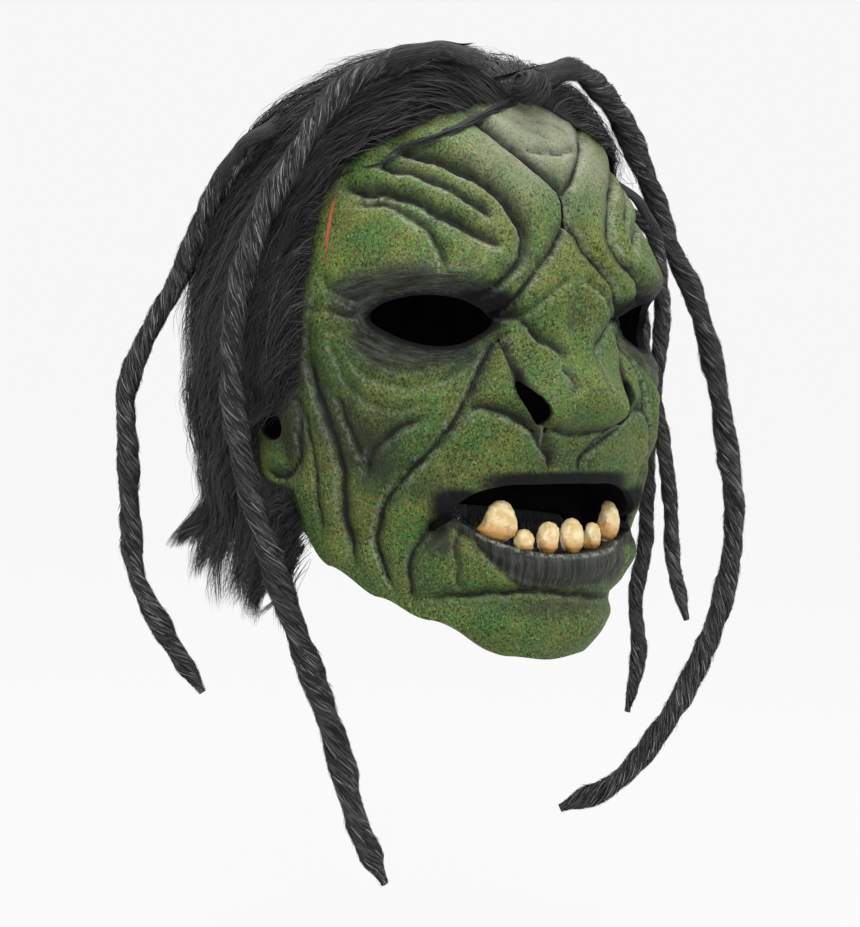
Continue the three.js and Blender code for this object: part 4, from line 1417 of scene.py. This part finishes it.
def loose_strands(lines, last, count, rng):
    """Short fine hairs that lie across the locks and soften them."""
    lock = rng.integers(0, len(last), count)
    t = STRAND
    reach = rng.uniform(8, 24, count) / LOCK_STEP
    start = rng.uniform(0.1, 1, count) * np.maximum(last[lock] - reach, 0.1)
    reach = np.minimum(reach, np.maximum(last[lock] - start, 0.3))
    index = start[:, None] + reach[:, None] * t
    base, normal, side, pile, drawn = on_lines(lines, lock, index)
    drift = rng.normal(0, 0.32, count) * reach * LOCK_STEP
    curl = rng.uniform(0.2, 1.5, (count, 1))
    curl = curl * np.sin(rng.uniform(2, 6, (count, 1)) * t + start[:, None] * 9)
    across = (rng.normal(0, 4, count)[:, None] + drift[:, None] * t + curl) * (1 - 0.8 * drawn)
    lift = rng.uniform(0.62, 1.0, (count, 1)) + 0.12 * np.sin(math.pi * t)
    proud = rng.exponential(0.35, count)[:, None] * t**2
    height = FUR_BACKING * 0.6 + pile * lift + np.minimum(proud, 2.8)
    paths = base + side * across[..., None] + normal * height[..., None]
    widths = rng.uniform(0.16, 0.3, (count, 1)) * (1 - 0.8 * t**2)
    return paths, widths, rolled(normal, side, rng), random_shades(rng, 0.48, 0.22, count)


def random_shades(rng, middle, width, count):
    return np.clip(rng.normal(middle, width, count), 0, 1)


def rolled(normal, side, rng):
    """Facing directions of flat strands, each rolled a little about its own line."""
    return around(normal, side, rng.normal(0, 0.5, len(normal))[:, None])


def under_dreads(paths, normal):
    """Press the hair down where a dreadlock lies on it."""
    for sizes in DREADS.values():
        route = resample(sizes["lying"], 4)
        route = route[int(sizes["covered"] / 4) :]
        points = paths.reshape(-1, 3)
        outwards = normal.reshape(-1, 3)
        wide = 2.2 * sizes["radius"]
        near = np.flatnonzero(((points > route.min(0) - 25) & (points < route.max(0) + 25)).all(1))
        gap = points[near, None, :] - route[None, :, :]
        closest = np.linalg.norm(gap, axis=2).argmin(axis=1)
        offset = gap[np.arange(len(near)), closest]
        height = (offset * outwards[near]).sum(1)
        aside = np.sqrt(np.maximum((offset**2).sum(1) - height**2, 0))
        ends = (closest == 0) & (aside > sizes["radius"])
        limit = -sizes["radius"] * np.sqrt(np.clip(1 - (aside / wide) ** 2, 0, 1)) - 0.3
        sink = np.where((aside < wide) & ~ends, np.maximum(height - limit, 0), 0)
        points[near] -= outwards[near] * sink[:, None]
        paths = points.reshape(paths.shape)
    return paths


def wrapped_root(dread, rng):
    """Strands of the wig gathered over the root of a dreadlock and on to it."""
    radius = DREADS[dread]["radius"]
    route = resample(DREADS[dread]["lying"], 2.0)
    place = distance_along(route)
    start_direction = unit(route[2] - route[0])
    count = WRAP["count"]
    t = STRAND
    start = -WRAP["before"] * rng.uniform(0.5, 1, count)
    end = (WRAP["after"] + DREADS[dread]["covered"]) * rng.uniform(0.2, 1, count) ** 0.7
    s = start[:, None] + (end - start)[:, None] * t
    ahead = np.clip(s, 0, place[-1])
    axis = read_along(ahead, place, route)
    axis = axis + start_direction * np.minimum(s, 0)[..., None]
    normal = outward(axis)
    behind = smooth_step(-s, 0, WRAP["before"])
    axis = axis - normal * (WRAP["sink"] * behind)[..., None]
    side = unit(np.cross(np.gradient(axis, axis=1), normal))
    angle = np.clip(rng.normal(0, 1.0, count), -1.9, 1.9)[:, None]
    angle = angle + rng.normal(0.25, 0.25, count)[:, None] * t
    root = ROOT_SHARE + (1 - ROOT_SHARE) * smooth_step(s, 0, ROOT_TAPER)
    reach = radius * root * rng.uniform(0.98, 1.1, (count, 1)) + 0.5
    across = np.sin(angle) * (reach + WRAP["spread"] * behind)
    paths = axis + side * across[..., None] + normal * (np.cos(angle) * reach)[..., None]
    facing = around(normal, side, angle)
    widths = rng.uniform(0.3, 0.6, (count, 1)) * (1 - 0.85 * t**3) * np.minimum(1, 0.4 + t * 4)
    return paths, widths, facing, random_shades(rng, 0.36, 0.18, count)


def wisp(spread, count, longest, route, rng):
    """Strands that lie on the skin along a line given as (across, drop)."""
    line = resample(route, 1.0)
    t = STRAND
    reach = rng.uniform(0.5, 1, count) * longest
    start = rng.uniform(0, 1, count) * (len(line) - reach)
    s = start[:, None] + reach[:, None] * t
    turn, drop = (np.interp(s, np.arange(len(line)), line[:, i]) for i in range(2))
    turn = turn / ARC
    aside = np.clip(rng.normal(0, 0.5, count), -1.2, 1.2)[:, None] * (1 - 0.4 * t)
    aside = aside + 0.25 * np.sin(rng.uniform(2, 6, (count, 1)) * t + start[:, None])
    lift = spread * (0.2 + 0.6 * (1 - np.minimum(np.abs(aside), 1)) * rng.uniform(0.4, 1, (count, 1)))
    points = skin_point(turn, drop, lift)
    normal = outward(points)
    side = unit(np.cross(np.gradient(points, axis=1), normal))
    widths = rng.uniform(0.26, 0.5, (count, 1)) * (1 - 0.8 * t**2) * np.minimum(1, 0.4 + t * 4)
    paths = points + side * (spread * aside)[..., None]
    return paths, widths, rolled(normal, side, rng), random_shades(rng, 0.3, 0.15, count)


def closed_shell(turn, drop, inner, outer, wrap):
    """Points and faces of a closed shell over a grid of turns and drops."""
    rows, columns = turn.shape
    points = np.concatenate([hanging_point(turn, drop, lift).reshape(-1, 3) for lift in (outer, inner)])
    count = rows * columns
    faces = grid_faces(rows, columns, wrap=wrap).tolist()
    faces += grid_faces(rows, columns, start=count, wrap=wrap, flip=True).tolist()

    def wall(line):
        return np.stack([line[1:], line[:-1], line[:-1] + count, line[1:] + count], 1).tolist()

    first = np.arange(columns)
    last = first + (rows - 1) * columns
    left = np.arange(rows) * columns
    if wrap:
        faces += wall(np.r_[last, last[0]][::-1]) + wall(np.r_[first, first[0]])
    else:
        faces += wall(first) + wall(last[::-1]) + wall(left[::-1]) + wall(left + columns - 1)
    return points, faces


def layer_relief(turn, drop, rng):
    """Rough ridges of the underlayer, as a share of the pile."""
    relief = np.zeros(turn.shape)
    for _ in range(14):
        a, b = rng.normal(0, 9, 2)
        relief += np.sin(a * turn + b * drop / 60 + rng.uniform(0, 6.28))
    return 0.46 + 0.03 * relief


def comb_lines(points):
    """Coordinates of the underlayer that change fast across the way it is combed and slowly along it."""
    turn = np.arctan2(points[:, 0], -points[:, 1])
    from_knot = points - np.array(KNOT["place"], float)
    fan = np.arctan2(from_knot[:, 0], from_knot[:, 1])
    fast = np.where(-points[:, 2] > 42.5, 60 * turn, 55 * fan)
    slow = 0.03 * np.linalg.norm(from_knot, axis=1)
    return np.stack([fast, slow, np.ones(len(points))], 1)


def fur_panel(side, grid, roots, per_lock, loose, length, seed, wrap=False, wrapped=(), wisps=()):
    """One panel: roots gives the locks, of per_lock strands each, and loose counts the single hairs."""
    rng = np.random.default_rng(seed)
    turn, drop = grid
    edge = smooth_step(inside_hairline(turn, np.minimum(drop, FUR_HEM)), 0, 12)
    rough = fur_thickness(turn, drop) * layer_relief(turn, drop, rng)
    outer = FUR_BACKING * (0.6 + 0.4 * edge) + rough * edge
    inner = np.full(turn.shape, FUR_BACKING * 0.2)
    points, faces = closed_shell(turn, drop, inner, outer, wrap)
    lines, last = lock_lines(*roots(rng), rng)
    groups = [combed_strands(lines, last, per_lock, length, rng), loose_strands(lines, last, loose, rng)]
    groups = [(under_dreads(paths, facing), *rest, facing, shade) for paths, *rest, facing, shade in groups]
    groups += [wrapped_root(dread, rng) for dread in wrapped]
    groups += [wisp(*sizes, rng) for sizes in wisps]
    shades = [np.zeros(len(points))]
    lays = [comb_lines(points)]
    points = [points]
    for paths, widths, facing, shade in groups:
        strand_points, quads = ribbons(paths, widths, facing)
        faces += (quads + sum(len(part) for part in points)).tolist()
        points.append(strand_points)
        shades.append(np.repeat(shade, 2 * STRAND_POINTS))
        lays.append(np.zeros(strand_points.shape))
    values = {"shade": np.concatenate(shades), "lay": np.concatenate(lays)}
    panel = new_piece(f"fur_{side}_strands", np.concatenate(points), faces, values)
    fixed(panel, f"fur_{side}", FUR_PAINT)


def crown_grid():
    turns = np.linspace(-math.pi, math.pi, LAYER_CELLS["round"], endpoint=False)
    part = np.linspace(0.02, 1, LAYER_CELLS["crown_rows"])[:, None]
    drop = hairline_drop(turns)[None, :] * (1 - np.cos(part * math.pi / 2))
    return np.broadcast_to(turns, drop.shape), drop


def side_grid(side):
    part = np.linspace(0, 1, LAYER_CELLS["side"])[None, :]
    drop = PANEL_DROPS + 0 * part
    front = along(SIDE_HAIRLINE, drop) / ARC
    share = part if side > 0 else 1 - part
    return side * (front + (SIDE_REAR / ARC - front) * share), drop


def back_grid():
    start = (SIDE_REAR + SEAM) / ARC
    turn = np.linspace(start, 2 * math.pi - start, LAYER_CELLS["back"])[None, :]
    return turn + 0 * PANEL_DROPS, PANEL_DROPS + 0 * turn


def crown_roots(rng):
    """Roots all over the crown, close together along the hairline and round the knot."""
    all_over, at_line, at_knot = 430, 170, 90
    over_turn = rng.uniform(-math.pi, math.pi, all_over)
    over_part = np.sqrt(rng.uniform(0.0, 0.96, all_over))
    over_drop = hairline_drop(over_turn) * (1 - np.cos(over_part * math.pi / 2))
    line_turn = rng.uniform(-1.34, 1.34, at_line)
    line_drop = hairline_drop(line_turn) + rng.uniform(-5, 1.5, at_line)
    round_knot = rng.uniform(0, 2 * math.pi, at_knot)
    reach = rng.uniform(3, 26, at_knot)
    beside = np.stack([np.cos(round_knot) * reach, np.abs(np.sin(round_knot)) * reach, 0 * reach], 1)
    near_turn, near_drop = locate(np.array(KNOT["place"]) + beside)
    return np.r_[over_turn, line_turn, near_turn], np.r_[over_drop, line_drop, near_drop]


def side_roots(side):
    """Roots all over a side, with more of them along its front edge and below the ear lobe."""

    def roots(rng):
        all_over, at_edge, at_lobe = 230, 170, 44
        over = rng.uniform(CROWN_SEAM - 11, FUR_HEM - 20, all_over)
        front = along(SIDE_HAIRLINE, over) / ARC
        over_turn = front + (SIDE_REAR / ARC - front) * rng.uniform(0, 1, all_over)
        edge = rng.uniform(CROWN_SEAM - 8, FUR_HEM - 22, at_edge)
        edge_turn = (along(SIDE_HAIRLINE, edge) + rng.uniform(-2.5, 7, at_edge)) / ARC
        lobe = rng.uniform(188, 216, at_lobe)
        lobe_turn = rng.uniform(139, 152, at_lobe) / ARC
        return side * np.r_[over_turn, edge_turn, lobe_turn], np.r_[over, edge, lobe]

    return roots


def back_roots(rng):
    """Roots all over the back, with more of them along the hem."""
    start = SIDE_REAR / ARC
    all_over, at_hem = 300, 70
    turn = rng.uniform(start, 2 * math.pi - start, all_over + at_hem)
    over = rng.uniform(CROWN_SEAM - 13, NAPE_FUR_HEM - 24, all_over)
    return turn, np.r_[over, rng.uniform(196, 214, at_hem)]


fur_panel(
    "crown", crown_grid(), crown_roots, per_lock=14, loose=4300, length=(46, 88), seed=SEED + 60,
    wrap=True, wrapped=("right_front", "right_rear", "left_front"), wisps=WISPS,
)
fur_panel(
    "right", side_grid(-1), side_roots(-1), per_lock=22, loose=5600, length=(34, 60), seed=SEED + 61,
)
fur_panel(
    "left", side_grid(1), side_roots(1), per_lock=22, loose=4600, length=(34, 60), seed=SEED + 62,
    wrapped=("left_middle", "left_rear"),
)
fur_panel("back", back_grid(), back_roots, per_lock=28, loose=4600, length=(36, 66), seed=SEED + 63)


def add_knot():
    """The forelock wound round itself: a tight ball of strands with loose ends."""
    rng = np.random.default_rng(SEED + 70)
    middle = np.array(KNOT["place"], float)
    half = np.array(KNOT["half"], float)
    rows, columns = KNOT["rows"], KNOT["columns"]
    tilt = np.linspace(0.06, math.pi - 0.06, rows)[:, None]
    round_it = round_ring(columns)[None, :]
    level = np.cos(tilt) + 0 * round_it
    ball = np.stack([np.sin(tilt) * np.cos(round_it), np.sin(tilt) * np.sin(round_it), level], -1)
    core = (middle + ball * half * KNOT["core"]).reshape(-1, 3)
    faces = capped_tube(rows, columns)
    count = KNOT["count"]
    t = STRAND
    axis = unit(np.array(KNOT["axis"]))
    first = unit(np.cross(axis, (0, 1, 0)))
    second = np.cross(axis, first)
    angle = rng.uniform(0, 6.28, (count, 1)) + rng.uniform(1.2, 3.4, (count, 1)) * t
    height = rng.uniform(-0.93, 0.93, (count, 1)) + rng.uniform(-0.25, 0.35, (count, 1)) * t
    height = np.clip(height, -0.97, 0.97)
    ring = np.sqrt(1 - height**2)
    facing = axis * height[..., None] + around(first, second, angle) * ring[..., None]
    proud = rng.uniform(0.88, 1.1, (count, 1)) + (rng.random(count) > 0.93)[:, None] * 0.35 * t**2
    paths = middle + facing * half * proud[..., None]
    widths = rng.uniform(0.3, 0.6, (count, 1)) * (1 - 0.7 * t**2)
    points, quads = ribbons(paths, widths, facing)
    faces += (quads + len(core)).tolist()
    strand_shade = random_shades(rng, 0.4, 0.2, count)
    shade = np.r_[np.full(len(core), 0.05), np.repeat(strand_shade, 2 * STRAND_POINTS)]
    knot = new_piece("forelock_knot_strands", np.concatenate([core, points]), faces, {"shade": shade})
    fixed(knot, "forelock_knot", FUR_PAINT)


add_knot()

# ---- light and floor ----


def area_light(name, place, aim, size, power):
    data = bpy.data.lights.new(name, "AREA")
    data.shape = "RECTANGLE"
    data.size, data.size_y = size
    data.energy = power
    lamp = new_object(name, data)
    lamp.location = place
    lamp.rotation_euler = (Vector(aim) - Vector(place)).to_track_quat("-Z", "Y").to_euler()


def add_floor():
    """A wide pale disc below the dreadlocks. Most of its light is its own, so its edge is unseen."""
    rim = round_ring(FLOOR["sides"])
    reach = FLOOR["radius"]
    disc = np.stack([np.cos(rim) * reach, np.sin(rim) * reach, 0 * rim + FLOOR["level"]], 1)
    floor = new_piece("floor", disc / MM, [list(range(FLOOR["sides"]))])
    p = Paint("pale_floor")
    tone = FLOOR["share"]
    glow = STUDIO_TONE * (1 - tone)
    p.finish(
        Base_Color=(tone, tone, tone, 1), Roughness=1.0, Specular_IOR_Level=0.0,
        Emission_Color=(glow, glow, glow, 1), Emission_Strength=1.0,
    )
    floor.data.materials.append(p.material)


STUDIO_TONE = 0.93
LIGHTS = {
    "key": {"place": (-0.9, -1.2, 1.1), "aim": (0, 0, -0.1), "size": (0.7, 0.7), "power": 20},
    "fill": {"place": (1.2, -1.0, 0.3), "aim": (0, 0, -0.15), "size": (1.0, 1.2), "power": 6},
    "top": {"place": (0.0, 0.2, 1.4), "aim": (0, 0, -0.1), "size": (1.0, 1.0), "power": 22},
}
FLOOR = {"level": -0.42, "radius": 30.0, "sides": 96, "share": 0.04}
add_floor()
for light_name, light_sizes in LIGHTS.items():
    area_light(light_name, **light_sizes)
world = bpy.data.worlds.new("studio")
world.use_nodes = True
backdrop = world.node_tree.nodes["Background"].inputs
backdrop["Color"].default_value = (STUDIO_TONE, STUDIO_TONE, STUDIO_TONE, 1)
backdrop["Strength"].default_value = 1.0
bpy.context.scene.world = world
bpy.context.scene.view_settings.view_transform = "Standard"
